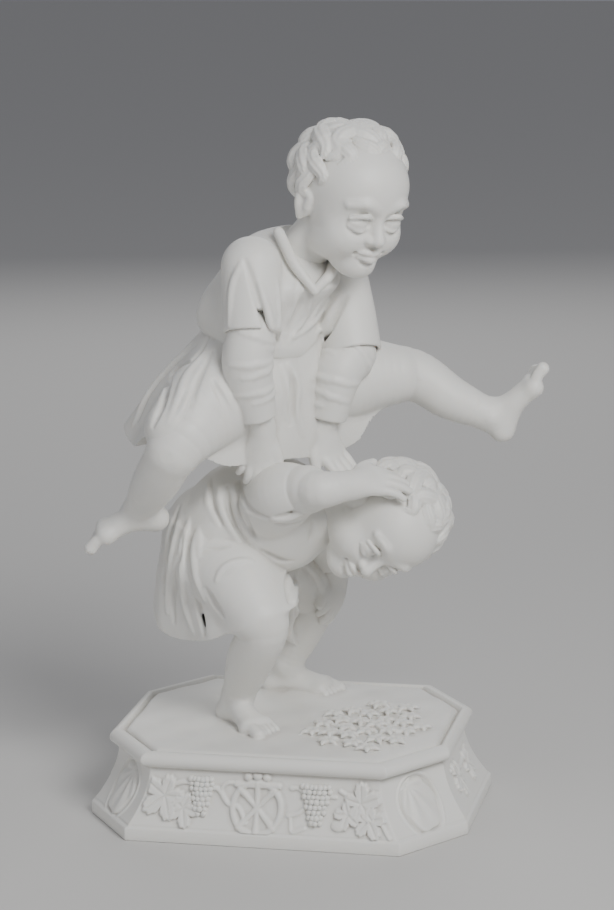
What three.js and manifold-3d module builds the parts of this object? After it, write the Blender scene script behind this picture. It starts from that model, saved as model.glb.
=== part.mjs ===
// Leapfrog figure group: two children at play on a chamfered plinth, cast as one piece in white bisque.
// Millimetres. +X is to the right of the front, +Y to the back and +Z up.
// The origin is the centre of the plinth's underside.

import * as THREE from 'three';
import { mergeVertices } from 'three/addons/utils/BufferGeometryUtils.js';
import Module from 'manifold-3d';

const wasm = await Module();
wasm.setup();

const at = (x, y, z) => new THREE.Vector3(x, y, z);
const mix = (a, b, t) => a + (b - a) * t;
const turn = (degrees) => (degrees * Math.PI) / 180;

// Plinth sizes. Each outline is an octagon: half length, half width and the two legs of its cut corner.
const slab = { x: 91, y: 73, cutX: 26, cutY: 36 };
const panelFoot = { x: 89.5, y: 71.5, cutX: 26, cutY: 36 };
const neck = { x: 78.5, y: 63.5, cutX: 24, cutY: 33 };
const rim = { x: 81, y: 66, cutX: 24, cutY: 33 };
const lawn = { x: 75.5, y: 60.5, cutX: 23, cutY: 31.5 };
const slabTop = 6.5;
const panelBottom = 7.4;
const neckTop = 33;
const rimMiddle = 37.4;
const rimRadius = 3.7;
const lawnEdge = 40.2;
const lawnInset = 0.985;
const rimSweep = { from: turn(-80), to: turn(100), seat: 0.98 };
const panelSweep = 1.75;

// Ground: the swellings that the feet and the plants stand on.
const lawnLevel = 41.4;
const mounds = [
  { x: -18, y: -12, reach: 26, height: 1.6 },
  { x: -6, y: 42, reach: 20, height: 2.2 },
  { x: 46, y: -26, reach: 24, height: 2.4 },
  { x: 40, y: 22, reach: 22, height: 2.6 },
  { x: -52, y: 10, reach: 22, height: 2.0 },
];
const goldenAngle = 2.39996;
const tufts = { count: 8, x: 42, y: -14, spreadX: 24, spreadY: 33, size: 9, width: 0.55, height: 1.9 };

// Relief on the panels.
const reliefSink = 1.6;
const leafLift = 2.2;
const stemRadius = 1.25;
const bunch = { wide: 5.6, high: 9, lift: 4 };
const badge = { s: -3, z: 17.5, radius: 11.4, tube: 1.6 };
const shell = { radiusS: 10.5, radiusZ: 11.5, ribs: 9, lift: 2.6 };

// Leaping child: the joints of the body, the bodice and the skirt's hem. Each station of the bodice lists
// its centre, half width, half depth and how far its front tips down.
const leaper = {
  forward: at(0.84, -0.54, 0).normalize(),
  waist: at(-13, 0, 233),
  waistRadius: 25,
  bodice: [
    [at(-12, -1, 225.5), 26, 25.5, 11],
    [at(-13, -1, 229.5), 28.5, 27.5, 10],
    [at(-14, -1, 237), 29, 27.5, 8],
    [at(-10, -1, 247), 29, 28, 6],
    [at(-4, -1, 255), 28, 27.5, 10],
    [at(2, -2, 264), 24, 24, 24],
    [at(8, -4, 272), 12.5, 12.5, 38],
  ],
  hem: [
    at(-81, 6, 182), at(-74, -12, 175), at(-62, -36, 184), at(-47, -56, 191), at(-33, -50, 180),
    at(-23, -36, 172), at(-8, -26, 172), at(8, -14, 172), at(21, 4, 170), at(32, 18, 176),
    at(42, 27, 198), at(50, 36, 214), at(44, 50, 208), at(16, 50, 186), at(-20, 46, 180),
    at(-56, 36, 180), at(-76, 22, 182),
  ],
  neck: [at(7, -2, 266), at(15, -3, 276)],
  collar: [
    [at(-1, -12, 278), at(8, -21, 265), at(18, -23, 253)],
    [at(20, 8, 268), at(23, -8, 260), at(18, -23, 253)],
  ],
  head: at(32, -5, 294.5),
  headScale: 1.04,
  face: at(0.68, -0.67, -0.3),
  crown: at(0.27, -0.14, 0.95),
  near: {
    shoulder: at(-11, -26, 264), hem: at(-9, -36, 235), elbow: at(-11, -38, 222), cuff: at(-8, -32, 195),
    wrist: at(-7.5, -27.5, 187.5), knuckles: at(-9.5, -27, 172.5), fingers: at(-12.5, -27, 163.5),
    handBack: at(0.1, -0.9, 0.35), thumbSide: -1,
    thigh: [at(-16, -6, 204), at(-31, -32, 199), at(-42, -51, 189)],
    knee: at(-42, -53, 183), calf: at(-55, -42, 164), ankle: at(-66, -29, 149),
    heel: at(-59, -25, 143), ball: at(-82, -32, 138), toe: at(-90, -33.5, 132),
  },
  far: {
    shoulder: at(20, 22, 252), hem: at(29, 8, 218.5), elbow: at(24, 1, 211), cuff: at(18.4, -1, 189),
    wrist: at(15.8, -1, 183), knuckles: at(21, -1.5, 171), fingers: at(31, -3, 158.5),
    handBack: at(0.5, -0.5, 0.7), thumbSide: 1,
    thigh: [at(-4, 8, 202), at(20, 22, 202), at(45, 34, 203)],
    underHem: at(30, 28, 200), knee: at(52, 39, 203), calf: at(70, 42, 192), ankle: at(89, 46, 183),
    heel: at(95, 47, 176), ball: at(109, 48, 198), toe: at(113, 49, 208),
  },
};

// Bending child, in the same terms. The back lies level, so the bodice runs along it.
const bender = {
  front: at(0.3, 0, -0.95).normalize(),
  waist: at(-34, 4, 134),
  waistAcross: at(-1, 0, 0.25).normalize(),
  waistRadii: [26, 29],
  bodice: [
    [at(-42, 4, 126), 28, 26],
    [at(-30, 4, 132), 31, 30],
    [at(-14, 4, 139), 30, 29],
    [at(0, 4, 143), 30, 27],
    [at(10, 4, 145), 25, 21],
    [at(22, 2, 144), 14, 13],
  ],
  hem: [
    at(-68.5, 8, 92), at(-65, -10, 88), at(-56, -18, 84), at(-42, -28, 85), at(-28, -40, 90),
    at(-16, -46, 97), at(-4, -46, 103), at(7, -38, 105), at(8, -20, 104), at(2, 0, 98),
    at(-2, 20, 84), at(-6, 34, 66), at(0, 50, 78), at(-4, 56, 92), at(-24, 52, 88),
    at(-48, 42, 86), at(-66, 28, 90),
  ],
  seat: at(-38, 4, 127),
  neck: at(13, 1, 147),
  head: at(47.5, -5, 139.5),
  headScale: 0.93,
  face: at(0.1, -0.8, -0.6),
  crown: at(0.9, -0.1, 0.42),
  near: {
    shoulder: at(-3, -22, 152), cuff: at(14, -35, 162), elbow: at(24, -43, 164), wrist: at(38, -33, 165),
    knuckles: at(47, -26, 166), fingers: at(60, -21, 161), handBack: at(0.1, -0.75, 0.65), thumbSide: -1,
    sleeve: at(4, -29, 158), cuffEnd: at(16.5, -36.5, 162.5),
    thigh: [at(-34, -10, 118), at(-20, -24, 112)],
    knee: at(-6, -36, 98), calf: at(-15, -24, 76), ankle: at(-25, -7, 54),
    heel: at(-30, -7, 45), ball: at(-12, -26, 44), toe: at(-5, -33, 43),
  },
  far: {
    shoulder: at(6, 32, 136), elbow: at(12, 44, 108), wrist: at(12, 42, 94), knuckles: at(12, 39, 88),
    fingers: at(8, 36, 80), handBack: at(0.8, 0.1, 0.6), thumbSide: 1,
    sleeve: at(9, 39, 122), thigh: [at(-30, 18, 116), at(-14, 32, 104)],
    knee: at(2, 42, 92), calf: at(-5, 43, 73), ankle: at(-13, 44, 55),
    heel: at(-20, 45, 45), ball: at(6, 43, 43.7), toe: at(14, 42, 43),
  },
};

// Facet counts.
const limbSides = 8;
const sleeveSides = 9;
const thighSides = 10;
const digitSides = 4;
const stemSides = 4;
const trunkSides = 14;
const garmentSides = 24;
const headWide = 14;
const headHigh = 11;

// The longest sliver edge that is drawn together after joining.
const sliver = 1.1;

// A closed skin through rings of equal count, capped at both ends by a fan.
function skin(rings, firstTip, lastTip) {
  const count = rings[0].length;
  const points = rings.flat();
  const middle = (ring) => ring.reduce((sum, p) => sum.add(p), at(0, 0, 0)).divideScalar(count);
  points.push(firstTip ?? middle(rings[0]), lastTip ?? middle(rings[rings.length - 1]));
  const first = points.length - 2;
  const last = points.length - 1;
  const faces = [];
  for (let i = 0; i < count; i += 1) {
    const j = (i + 1) % count;
    for (let r = 0; r + 1 < rings.length; r += 1) {
      const a = r * count + i;
      const b = r * count + j;
      faces.push(a, b, b + count, a, b + count, a + count);
    }
    const end = (rings.length - 1) * count;
    faces.push(first, j, i, last, end + i, end + j);
  }
  const geometry = new THREE.BufferGeometry();
  geometry.setAttribute('position', new THREE.Float32BufferAttribute(points.flatMap((p) => p.toArray()), 3));
  geometry.setIndex(faces);
  return geometry;
}

// Six times the signed volume, negative where the faces point inwards.
function signedVolume(positions, triangles) {
  const corner = (k) => at(positions[3 * k], positions[3 * k + 1], positions[3 * k + 2]);
  let sum = 0;
  for (let t = 0; t < triangles.length; t += 3) {
    sum += corner(triangles[t]).dot(corner(triangles[t + 1]).cross(corner(triangles[t + 2])));
  }
  return sum;
}

function solid(geometry) {
  const bare = geometry.clone();
  bare.deleteAttribute('normal');
  bare.deleteAttribute('uv');
  const merged = mergeVertices(bare, 1e-4);
  const vertProperties = Float32Array.from(merged.attributes.position.array);
  const triVerts = Uint32Array.from(merged.index.array);
  if (signedVolume(vertProperties, triVerts) < 0) {
    triVerts.reverse();
  }
  return new wasm.Manifold(new wasm.Mesh({ numProp: 3, vertProperties, triVerts }));
}

function fuse(geometries) {
  return geometries.map(solid).reduce((whole, next) => whole.add(next));
}

// An oval ring around a centre. The first axis points along "across".
function oval(centre, across, other, halfA, halfB, sides, wave = () => 0) {
  return Array.from({ length: sides }, (_, i) => {
    const a = (2 * Math.PI * i) / sides;
    const grow = 1 + wave(a);
    return centre.clone()
      .addScaledVector(across, Math.cos(a) * halfA * grow)
      .addScaledVector(other, Math.sin(a) * halfB * grow);
  });
}

// A limb along a smooth path. Each girth is a radius, or a pair: along "across" and square to it.
// Its ends are low cones, and a round end has one more ring.
function limb(path, girths, options = {}) {
  const { sides = limbSides, steps = 3, across = at(0, 0, 1), round = false, tip = 0.5 } = options;
  const curve = new THREE.CatmullRomCurve3(path, false, 'centripetal');
  const pairs = girths.map((g) => (Array.isArray(g) ? g : [g, g]));
  const girthAt = (t) => {
    const place = t * (pairs.length - 1);
    const k = Math.min(Math.floor(place), pairs.length - 2);
    return [0, 1].map((n) => mix(pairs[k][n], pairs[k + 1][n], place - k));
  };
  const station = (t, shrink, push) => {
    const tangent = curve.getTangent(t);
    const side = across.clone().addScaledVector(tangent, -across.dot(tangent)).normalize();
    const other = tangent.clone().cross(side);
    const [a, b] = girthAt(t);
    const centre = curve.getPoint(t).addScaledVector(tangent, push * Math.min(a, b));
    return { ring: oval(centre, side, other, a * shrink, b * shrink, sides), centre };
  };
  const rings = [];
  for (let s = 0; s <= steps; s += 1) {
    rings.push(station(s / steps, 1, 0).ring);
  }
  if (!round) {
    return skin(rings, station(0, 1, -tip).centre, station(1, 1, tip).centre);
  }
  rings.unshift(station(0, 0.72, -0.68).ring);
  return skin(rings, station(0, 1, -0.98).centre, station(1, 1, tip).centre);
}

function ball(centre, rx, ry, rz, wide = 10, high = 7) {
  return new THREE.SphereGeometry(1, wide, high).scale(rx, ry, rz).translate(centre.x, centre.y, centre.z);
}

// Plinth

function octagon(outline, z, perSide = 1) {
  const { x, y, cutX, cutY } = outline;
  const corners = [
    at(x - cutX, -y, z), at(x, cutY - y, z), at(x, y - cutY, z), at(x - cutX, y, z),
    at(cutX - x, y, z), at(-x, y - cutY, z), at(-x, cutY - y, z), at(cutX - x, -y, z),
  ];
  return corners.flatMap((corner, k) => {
    const next = corners[(k + 1) % corners.length];
    return Array.from({ length: perSide }, (_, n) => corner.clone().lerp(next, n / perSide));
  });
}

function between(low, high, t) {
  const keys = ['x', 'y', 'cutX', 'cutY'];
  return Object.fromEntries(keys.map((key) => [key, mix(low[key], high[key], t)]));
}

// How far the hollow side has swept out from the neck (0) to the foot (1) at a height.
function sweepAt(z) {
  const rise = Math.min(1, Math.max(0, (z - panelBottom) / (neckTop - panelBottom)));
  return (1 - rise) ** panelSweep;
}

function groundHeight(x, y) {
  const swell = mounds.map((m) => {
    const away = ((x - m.x) ** 2 + (y - m.y) ** 2) / m.reach ** 2;
    return m.height * Math.exp(-away);
  });
  const ripple = 0.35 * Math.sin(x * 0.21 + 1.3) * Math.cos(y * 0.19);
  return lawnLevel + swell.reduce((sum, h) => sum + h, 0) + ripple;
}

function plinthBody() {
  const sideSteps = 7;
  const rings = [octagon(slab, 0), octagon(slab, slabTop), octagon(panelFoot, panelBottom)];
  for (let s = 1; s <= sideSteps; s += 1) {
    const z = mix(panelBottom, neckTop, s / sideSteps);
    rings.push(octagon(between(neck, panelFoot, sweepAt(z)), z));
  }
  const rimSteps = 5;
  for (let s = 0; s <= rimSteps; s += 1) {
    const a = mix(rimSweep.from, rimSweep.to, s / rimSteps);
    const bulge = (rimSweep.seat * rimRadius * Math.cos(a)) / (rim.x - neck.x);
    rings.push(octagon(between(neck, rim, bulge), rimMiddle + rimRadius * Math.sin(a)));
  }
  rings.push(octagon(lawn, lawnEdge));
  return skin(rings);
}

function lawnBody() {
  const lawnPerSide = 3;
  const shrinks = [1, 0.74, 0.46, 0.2];
  const rings = [octagon(lawn, neckTop, lawnPerSide), octagon(lawn, lawnEdge - 0.6, lawnPerSide)];
  shrinks.forEach((k) => {
    const ring = octagon(lawn, 0, lawnPerSide).map((p) => p.multiplyScalar(k * lawnInset));
    rings.push(ring.map((p) => at(p.x, p.y, groundHeight(p.x, p.y))));
  });
  return skin(rings);
}

// Low leafy tufts, spread by the golden angle over the bare right-hand ground.
function groundTufts() {
  return Array.from({ length: tufts.count }, (_, k) => {
    const a = k * goldenAngle;
    const far = Math.sqrt((k + 0.5) / tufts.count);
    const x = tufts.x + tufts.spreadX * far * Math.cos(a);
    const y = tufts.y + tufts.spreadY * far * Math.sin(a);
    const size = tufts.size * (0.75 + 0.25 * Math.sin(k * 1.7));
    return new THREE.SphereGeometry(1, 6, 3)
      .scale(size, size * tufts.width, tufts.height)
      .rotateZ(a * 1.3)
      .rotateX(0.16 * Math.sin(k))
      .translate(x, y, groundHeight(x, y) + 0.4);
  });
}

// The eight side panels, each with its two corners as functions of an outline.
const panels = {
  front: [(o) => at(o.cutX - o.x, -o.y, 0), (o) => at(o.x - o.cutX, -o.y, 0)],
  frontRight: [(o) => at(o.x - o.cutX, -o.y, 0), (o) => at(o.x, o.cutY - o.y, 0)],
  right: [(o) => at(o.x, o.cutY - o.y, 0), (o) => at(o.x, o.y - o.cutY, 0)],
  backRight: [(o) => at(o.x, o.y - o.cutY, 0), (o) => at(o.x - o.cutX, o.y, 0)],
  back: [(o) => at(o.x - o.cutX, o.y, 0), (o) => at(o.cutX - o.x, o.y, 0)],
  backLeft: [(o) => at(o.cutX - o.x, o.y, 0), (o) => at(-o.x, o.y - o.cutY, 0)],
  left: [(o) => at(-o.x, o.y - o.cutY, 0), (o) => at(-o.x, o.cutY - o.y, 0)],
  frontLeft: [(o) => at(-o.x, o.cutY - o.y, 0), (o) => at(o.cutX - o.x, -o.y, 0)],
};

// Bends a flat relief onto a panel: x runs along the panel, y is the height and z stands out of it.
function onPanel(geometry, [start, end]) {
  const bent = geometry.clone();
  const position = bent.attributes.position;
  for (let k = 0; k < position.count; k += 1) {
    const height = position.getY(k);
    const outline = between(neck, panelFoot, sweepAt(height));
    const a = start(outline);
    const b = end(outline);
    const along = b.clone().sub(a).normalize();
    const out = at(along.y, -along.x, 0);
    const point = a.add(b).multiplyScalar(0.5)
      .addScaledVector(along, position.getX(k))
      .addScaledVector(out, position.getZ(k));
    position.setXYZ(k, point.x, point.y, height);
  }
  return bent;
}

// A domed plaque of any star-shaped outline, sunk a little into the panel.
function plaque(s, z, outline, lift, points, crown = 0.55) {
  const ring = (shrink, height) => Array.from({ length: points }, (_, i) => {
    const a = (2 * Math.PI * i) / points;
    const r = outline(a) * shrink;
    return at(s + r * Math.cos(a), z + r * Math.sin(a), height(i));
  });
  const rings = [ring(1, () => -reliefSink), ring(crown, (i) => lift * (i % 2 ? 0.55 : 1))];
  return skin(rings, at(s, z, -reliefSink), at(s, z, lift * 0.9));
}

function vineLeaf(s, z, size, heading) {
  const outline = (a) => {
    const lobe = Math.abs(Math.cos(2.5 * (a - heading)));
    return size * (0.52 + 0.48 * lobe ** 0.8) * (1 + 0.12 * Math.cos(a - heading));
  };
  return plaque(s, z, outline, leafLift, 15, 0.8);
}

// A hanging bunch: rows of berries read as a knobbly drop, widest at its shoulders.
function grapes(s, z) {
  const { wide, high, lift } = bunch;
  const outline = (a) => {
    const taper = 1 + 0.28 * Math.sin(a);
    return Math.hypot(wide * Math.cos(a) * taper, high * Math.sin(a));
  };
  return plaque(s, z - 4, outline, lift, 12, 0.62);
}

function stem(points, radius = stemRadius) {
  const path = points.map(([s, z]) => at(s, z, 0.4));
  const steps = Math.ceil(path.length * 1.2);
  return limb(path, path.map(() => radius), { sides: stemSides, steps, across: at(0, 0, 1) });
}

function scallop() {
  const points = shell.ribs * 2;
  const outline = (a) => {
    const long = Math.hypot(shell.radiusS * Math.cos(a), shell.radiusZ * Math.sin(a));
    return long * (1 - 0.06 * Math.cos(points * 0.5 * a));
  };
  return plaque(0, 18, outline, shell.lift, points, 0.72);
}

function vineRelief() {
  const { s, z, radius, tube } = badge;
  const arm = radius * 0.68;
  return [
    vineLeaf(-47, 21, 11, turn(215)),
    vineLeaf(-38, 16, 8, turn(280)),
    grapes(-29.5, 21.5),
    stem([[-44, 26], [-36, 27.5], [-29, 25], [-22, 25], [-17, 19], [-12, 17.5]]),
    stem([[-21, 25], [-17, 28], [-13, 28]], 1.0),
    new THREE.TorusGeometry(radius, tube, 4, 14).translate(s, z, 0.3),
    stem([[s - arm, z + arm], [s + arm, z - arm]]),
    stem([[s - arm, z - arm], [s + arm, z + arm]]),
    stem([[s, z - radius], [s, z + radius]]),
    stem([[s - 10, z + 9.5], [s + 10, z + 9.5]], 1.5),
    ...[-4, 0, 4].map((shift) => ball(at(s + shift, z + 13.2, 0.5), 2.1, 2.1, 1.8, 5, 3)),
    stem([[13, 27], [17, 23], [21, 23.5]], 1.1),
    stem([[8, 20], [14, 19], [18, 21.5], [24, 24]], 1.0),
    grapes(25, 20.5),
    vineLeaf(46, 22, 9.5, turn(20)),
    vineLeaf(50, 15, 8, turn(300)),
    vineLeaf(40, 17, 6.5, turn(250)),
    stem([[31, 26], [38, 25], [46, 21], [53, 12]], 1.0),
    ball(at(35, 12, 0.3), 3.6, 2.4, 2.0, 6, 3),
  ];
}

// The back repeats the vine without the emblem.
function plainRelief() {
  return [
    vineLeaf(-44, 20, 11, turn(215)),
    vineLeaf(44, 20, 11, turn(325)),
    grapes(-22, 20.5),
    grapes(22, 20.5),
    stem([[-40, 25], [-28, 26], [-12, 21], [0, 24], [12, 21], [28, 26], [40, 25]]),
  ];
}

function endRelief() {
  return [vineLeaf(-10, 20, 8, turn(200)), stem([[-16, 24], [0, 21], [14, 24]], 1.1)];
}

function plinth() {
  const shells = [panels.frontRight, panels.frontLeft, panels.backRight, panels.backLeft];
  return [
    plinthBody(),
    lawnBody(),
    ...groundTufts(),
    ...vineRelief().map((g) => onPanel(g, panels.front)),
    ...plainRelief().map((g) => onPanel(g, panels.back)),
    ...endRelief().map((g) => onPanel(g, panels.right)),
    ...endRelief().map((g) => onPanel(g, panels.left)),
    ...shells.map((panel) => onPanel(scallop(), panel)),
  ];
}

// Heads. In a head's own frame x is the child's right, y forward and z up, and the head is 60 mm high.

const skullParts = [
  { centre: at(0, -3, 6), size: at(23.5, 28, 24) },
  { centre: at(0, 7, -8), size: at(19, 17, 21) },
  { centre: at(10.5, 13, -12), size: at(9, 9, 9) },
  { centre: at(-10.5, 13, -12), size: at(9, 9, 9) },
  { centre: at(0, 16.5, -24), size: at(6.5, 6, 6) },
  { centre: at(0, 9, 8), size: at(18, 14.5, 14) },
];
const sockets = [at(9, 22, -3), at(-9, 22, -3)];
const socketDepth = 3.2;
const socketWidth = 5;
const hairCap = { centre: at(0, -6, 7.5), size: at(25.5, 25.5, 23) };

// Distance from a start point, along a direction, to the far side of an ellipsoid.
function reach(part, from, direction) {
  const o = from.clone().sub(part.centre).divide(part.size);
  const d = direction.clone().divide(part.size);
  const b = o.dot(d);
  const gap = b * b - d.lengthSq() * (o.lengthSq() - 1);
  return gap < 0 ? 0 : (Math.sqrt(gap) - b) / d.lengthSq();
}

function skull() {
  const start = at(0, 2, -2);
  const geometry = new THREE.SphereGeometry(1, headWide, headHigh).rotateX(Math.PI / 2);
  const position = geometry.attributes.position;
  for (let k = 0; k < position.count; k += 1) {
    const direction = new THREE.Vector3().fromBufferAttribute(position, k).normalize();
    const far = Math.max(...skullParts.map((part) => reach(part, start, direction)));
    const point = start.clone().addScaledVector(direction, far);
    const dent = sockets.map((s) => Math.exp(-((point.distanceTo(s) / socketWidth) ** 2)));
    point.addScaledVector(direction, -socketDepth * (dent[0] + dent[1]));
    position.setXYZ(k, point.x, point.y, point.z);
  }
  return geometry;
}

function faceFeatures() {
  const nose = { sides: 6, steps: 2, across: at(1, 0, 0), tip: 0.7 };
  const lip = { sides: 4, steps: 2, across: at(0, 1, 0), tip: 0.7 };
  const sides = [1, -1];
  return [
    limb([at(0, 20, 1), at(0, 22.6, -5), at(0, 23.8, -9.5)], [[1.8, 2], [2.2, 2.4], [4, 3]], nose),
    ...sides.map((k) => ball(at(9 * k, 17.8, -3.6), 4.4, 3.6, 3.2, 6, 4)),
    ...sides.map((k) => ball(at(23.5 * k, -2, -6), 2.6, 4.5, 6.5, 6, 4)),
    limb([at(-6, 20.4, -17), at(0, 22.6, -16.4), at(6, 20.4, -17)], [1.2, 1.9, 1.2], lip),
    limb([at(-5, 20.2, -19.4), at(0, 21.8, -20), at(5, 20.2, -19.4)], [1.2, 2.1, 1.2], lip),
  ];
}

// The hair runs in deep waved locks from the crown. Angles go from the crown (0) down and from the forehead (0)
// around.
const hairSpin = { locks: 9, rows: 10, depth: 1.5, crownTilt: turn(18) };

function hairDirection(down, around) {
  const direction = at(Math.sin(down) * Math.sin(around), Math.sin(down) * Math.cos(around), Math.cos(down));
  return direction.applyAxisAngle(at(1, 0, 0), hairSpin.crownTilt);
}

function hairMass() {
  const { locks, rows, depth } = hairSpin;
  const count = locks * 2;
  const ring = (row) => Array.from({ length: count }, (_, i) => {
    const swirl = 0.35 * row + 0.5 * Math.sin(row * 0.9);
    const direction = hairDirection((Math.PI * row) / rows, (2 * Math.PI * (i + swirl)) / count);
    const far = reach(hairCap, hairCap.centre, direction) + depth * (i % 2 ? 1 : -0.7);
    return hairCap.centre.clone().addScaledVector(direction, far);
  });
  return skin(Array.from({ length: rows - 1 }, (_, k) => ring(k + 1)));
}

// A free lock with a turned-up tip.
function lock(from, to, width, curl) {
  const path = [0, 0.34, 0.68, 1].map((t) => {
    const around = turn(mix(from.around, to.around, t) + curl * Math.sin(Math.PI * t));
    const direction = hairDirection(turn(mix(from.down, to.down, t)), around);
    const lift = 1.4 * Math.sin(Math.PI * Math.min(1, t + 0.25)) - 0.4;
    return hairCap.centre.clone().addScaledVector(direction, reach(hairCap, hairCap.centre, direction) + lift);
  });
  const away = path[1].clone().sub(hairCap.centre).normalize();
  const girths = [[1.8, width * 0.4], [2.8, width * 0.5], [2.6, width * 0.45], [1.4, width * 0.2]];
  return limb(path, girths, { sides: digitSides, steps: 3, across: away });
}

const fringe = { count: 8, start: -92, arc: 184, from: 48, to: 84, width: 8.5, curl: 14, swirl: 12 };

function freeLocks() {
  const { count, start, arc, from, to, width, curl, swirl } = fringe;
  return Array.from({ length: count }, (_, k) => {
    const around = start + (arc * k) / (count - 1);
    const fall = 8 * Math.abs(Math.sin(turn(around)));
    const tip = { down: to + fall, around: around + swirl };
    return lock({ down: from, around }, tip, width, k % 2 ? curl : -curl);
  });
}

function head(child) {
  const forward = child.face.clone().normalize();
  const up = child.crown.clone().addScaledVector(forward, -child.crown.dot(forward)).normalize();
  const right = forward.clone().cross(up);
  const place = new THREE.Matrix4().makeBasis(right, forward, up)
    .scale(at(child.headScale, child.headScale, child.headScale))
    .setPosition(child.head);
  return [skull(), hairMass(), ...faceFeatures(), ...freeLocks()].map((g) => g.applyMatrix4(place));
}

// Hands and feet

function hand({ wrist, knuckles, fingers, handBack, thumbSide }) {
  const along = knuckles.clone().sub(wrist).normalize();
  const lift = handBack.clone().addScaledVector(along, -handBack.dot(along)).normalize();
  const across = along.clone().cross(lift).multiplyScalar(thumbSide);
  const palm = limb([wrist, knuckles], [[4.6, 5.6], [3.4, 7.8]], { sides: 6, steps: 1, across: lift });
  const digits = [-1.5, -0.5, 0.5, 1.5].map((n) => {
    const root = knuckles.clone().addScaledVector(across, n * 3.9);
    const tip = fingers.clone().addScaledVector(across, n * 4.4);
    const bend = root.clone().lerp(tip, 0.5).addScaledVector(lift, 1.2);
    return limb([root, bend, tip], [2.7, 2.6, 2], { sides: digitSides, steps: 2, across: lift, tip: 0.9 });
  });
  const thumbRoot = wrist.clone().lerp(knuckles, 0.35).addScaledVector(across, 5.5);
  const thumbTip = knuckles.clone().addScaledVector(across, 10).addScaledVector(lift, -1.5);
  const thumb = limb([thumbRoot, thumbTip], [3, 2.3], { sides: digitSides, steps: 1, across: lift, tip: 0.9 });
  return [palm, ...digits, thumb];
}

function foot(heel, ball1, toe, up, bigToeSide) {
  const along = toe.clone().sub(heel).normalize();
  const lift = up.clone().addScaledVector(along, -up.dot(along)).normalize();
  const across = along.clone().cross(lift).multiplyScalar(bigToeSide);
  const instep = heel.clone().lerp(ball1, 0.4).addScaledVector(lift, 2.4);
  const body = limb(
    [heel.clone().addScaledVector(lift, 1.5), instep, ball1],
    [[6, 5.8], [6.2, 6.2], [4.2, 7.8]],
    { sides: limbSides, steps: 3, across: lift, round: true },
  );
  const toes = [0, 1, 2, 3, 4].map((n) => {
    const size = n === 0 ? 3.2 : 2.4 - 0.12 * n;
    const root = ball1.clone().addScaledVector(across, 5.2 - n * 2.9);
    const tip = toe.clone().addScaledVector(across, 4.8 - n * 3.1).addScaledVector(along, -0.9 * n);
    return limb([root, tip], [size * 1.2, size * 1.1], { sides: digitSides, steps: 1, across: lift, tip: 0.9 });
  });
  return [body, ...toes];
}

// Garments

// A skirt from an oval waist down to a free hem, open to a shallow hollow below.
function skirt(waist, hemPoints, { rings = 4, bulge, folds, foldDepth, hollow }) {
  const hem = new THREE.CatmullRomCurve3(hemPoints, true, 'centripetal').getPoints(garmentSides).slice(0, -1);
  const middle = waist.reduce((sum, p) => sum.add(p), at(0, 0, 0)).divideScalar(waist.length);
  const ring = (t) => waist.map((top, i) => {
    const away = hem[i].clone().sub(middle).setZ(0).normalize();
    const fold = foldDepth * t * Math.cos((folds * 2 * Math.PI * i) / garmentSides);
    return top.clone().lerp(hem[i], t).addScaledVector(away, bulge * Math.sin(Math.PI * t) + fold);
  });
  const levels = Array.from({ length: rings + 1 }, (_, r) => ring(r / rings));
  const edge = levels[rings];
  const core = edge.reduce((sum, p) => sum.add(p), at(0, 0, 0)).divideScalar(edge.length);
  levels.push(edge.map((p) => p.clone().lerp(core, 0.1)));
  levels.push(edge.map((p) => p.clone().lerp(core, 0.3).lerp(middle, hollow)));
  return skin(levels);
}

// A trunk through oval stations. Each lists its centre, half width, half depth and how far its front tips down.
function trunk(stations, forward, side, folds, foldDepth) {
  const rings = stations.map(([centre, width, depth, tip = 0], n) => {
    const fade = foldDepth * (1 - n / (stations.length - 1));
    const front = forward.clone().applyAxisAngle(side, turn(tip));
    return oval(centre, front, side, depth, width, trunkSides, (a) => fade * Math.cos(folds * a + n * 0.35));
  });
  return skin(rings);
}

function leapingChild() {
  const { forward, waist, waistRadius, near, far } = leaper;
  const side = at(-forward.y, forward.x, 0);
  const body = trunk(leaper.bodice, forward, side, 7, 0.035);
  const waistRing = oval(waist, at(-1, 0, 0), at(0, -1, 0), waistRadius, waistRadius, garmentSides);
  const cloth = skirt(waistRing, leaper.hem, { bulge: 2, folds: 6, foldDepth: 1.6, hollow: 0.3 });
  const sleeve = { sides: sleeveSides, across: forward };
  return [
    body,
    cloth,
    limb(near.thigh, [24, 20, 14.5], { sides: thighSides }),
    limb(far.thigh, [23, 19, 14], { sides: thighSides }),
    limb([...leaper.neck, leaper.head], [12, 11.5, 12]),
    limb([near.shoulder, near.shoulder.clone().lerp(near.hem, 0.5), near.hem], [14, 13.5, 13], sleeve),
    limb([near.hem, near.elbow, near.cuff], [11, 12, 9.5], sleeve),
    limb([near.cuff, near.wrist], [6.8, 6.4], { steps: 1 }),
    limb([far.shoulder, far.shoulder.clone().lerp(far.hem, 0.5), far.hem], [14, 14.5, 14.5], sleeve),
    limb([far.hem, far.elbow, far.cuff], [11.5, 11.5, 9.5], sleeve),
    limb([far.cuff, far.wrist], [6.6, 6.2], { steps: 1 }),
    ...hand(near),
    ...hand(far),
    limb([near.knee, near.calf, near.ankle], [11.5, 10.8, 7]),
    ...foot(near.heel, near.ball, near.toe, at(-0.4, -0.35, 0.8), -1),
    limb([far.underHem, far.knee, far.calf, far.ankle], [13.5, 12, 10.5, 7.4], { steps: 6 }),
    ...foot(far.heel, far.ball, far.toe, at(-0.75, -0.3, 0.5), 1),
    ...leaper.collar.map((path) => limb(path, [2.2, 2.2, 1.6], { sides: 4, steps: 2 })),
    ...head(leaper),
  ];
}

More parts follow.
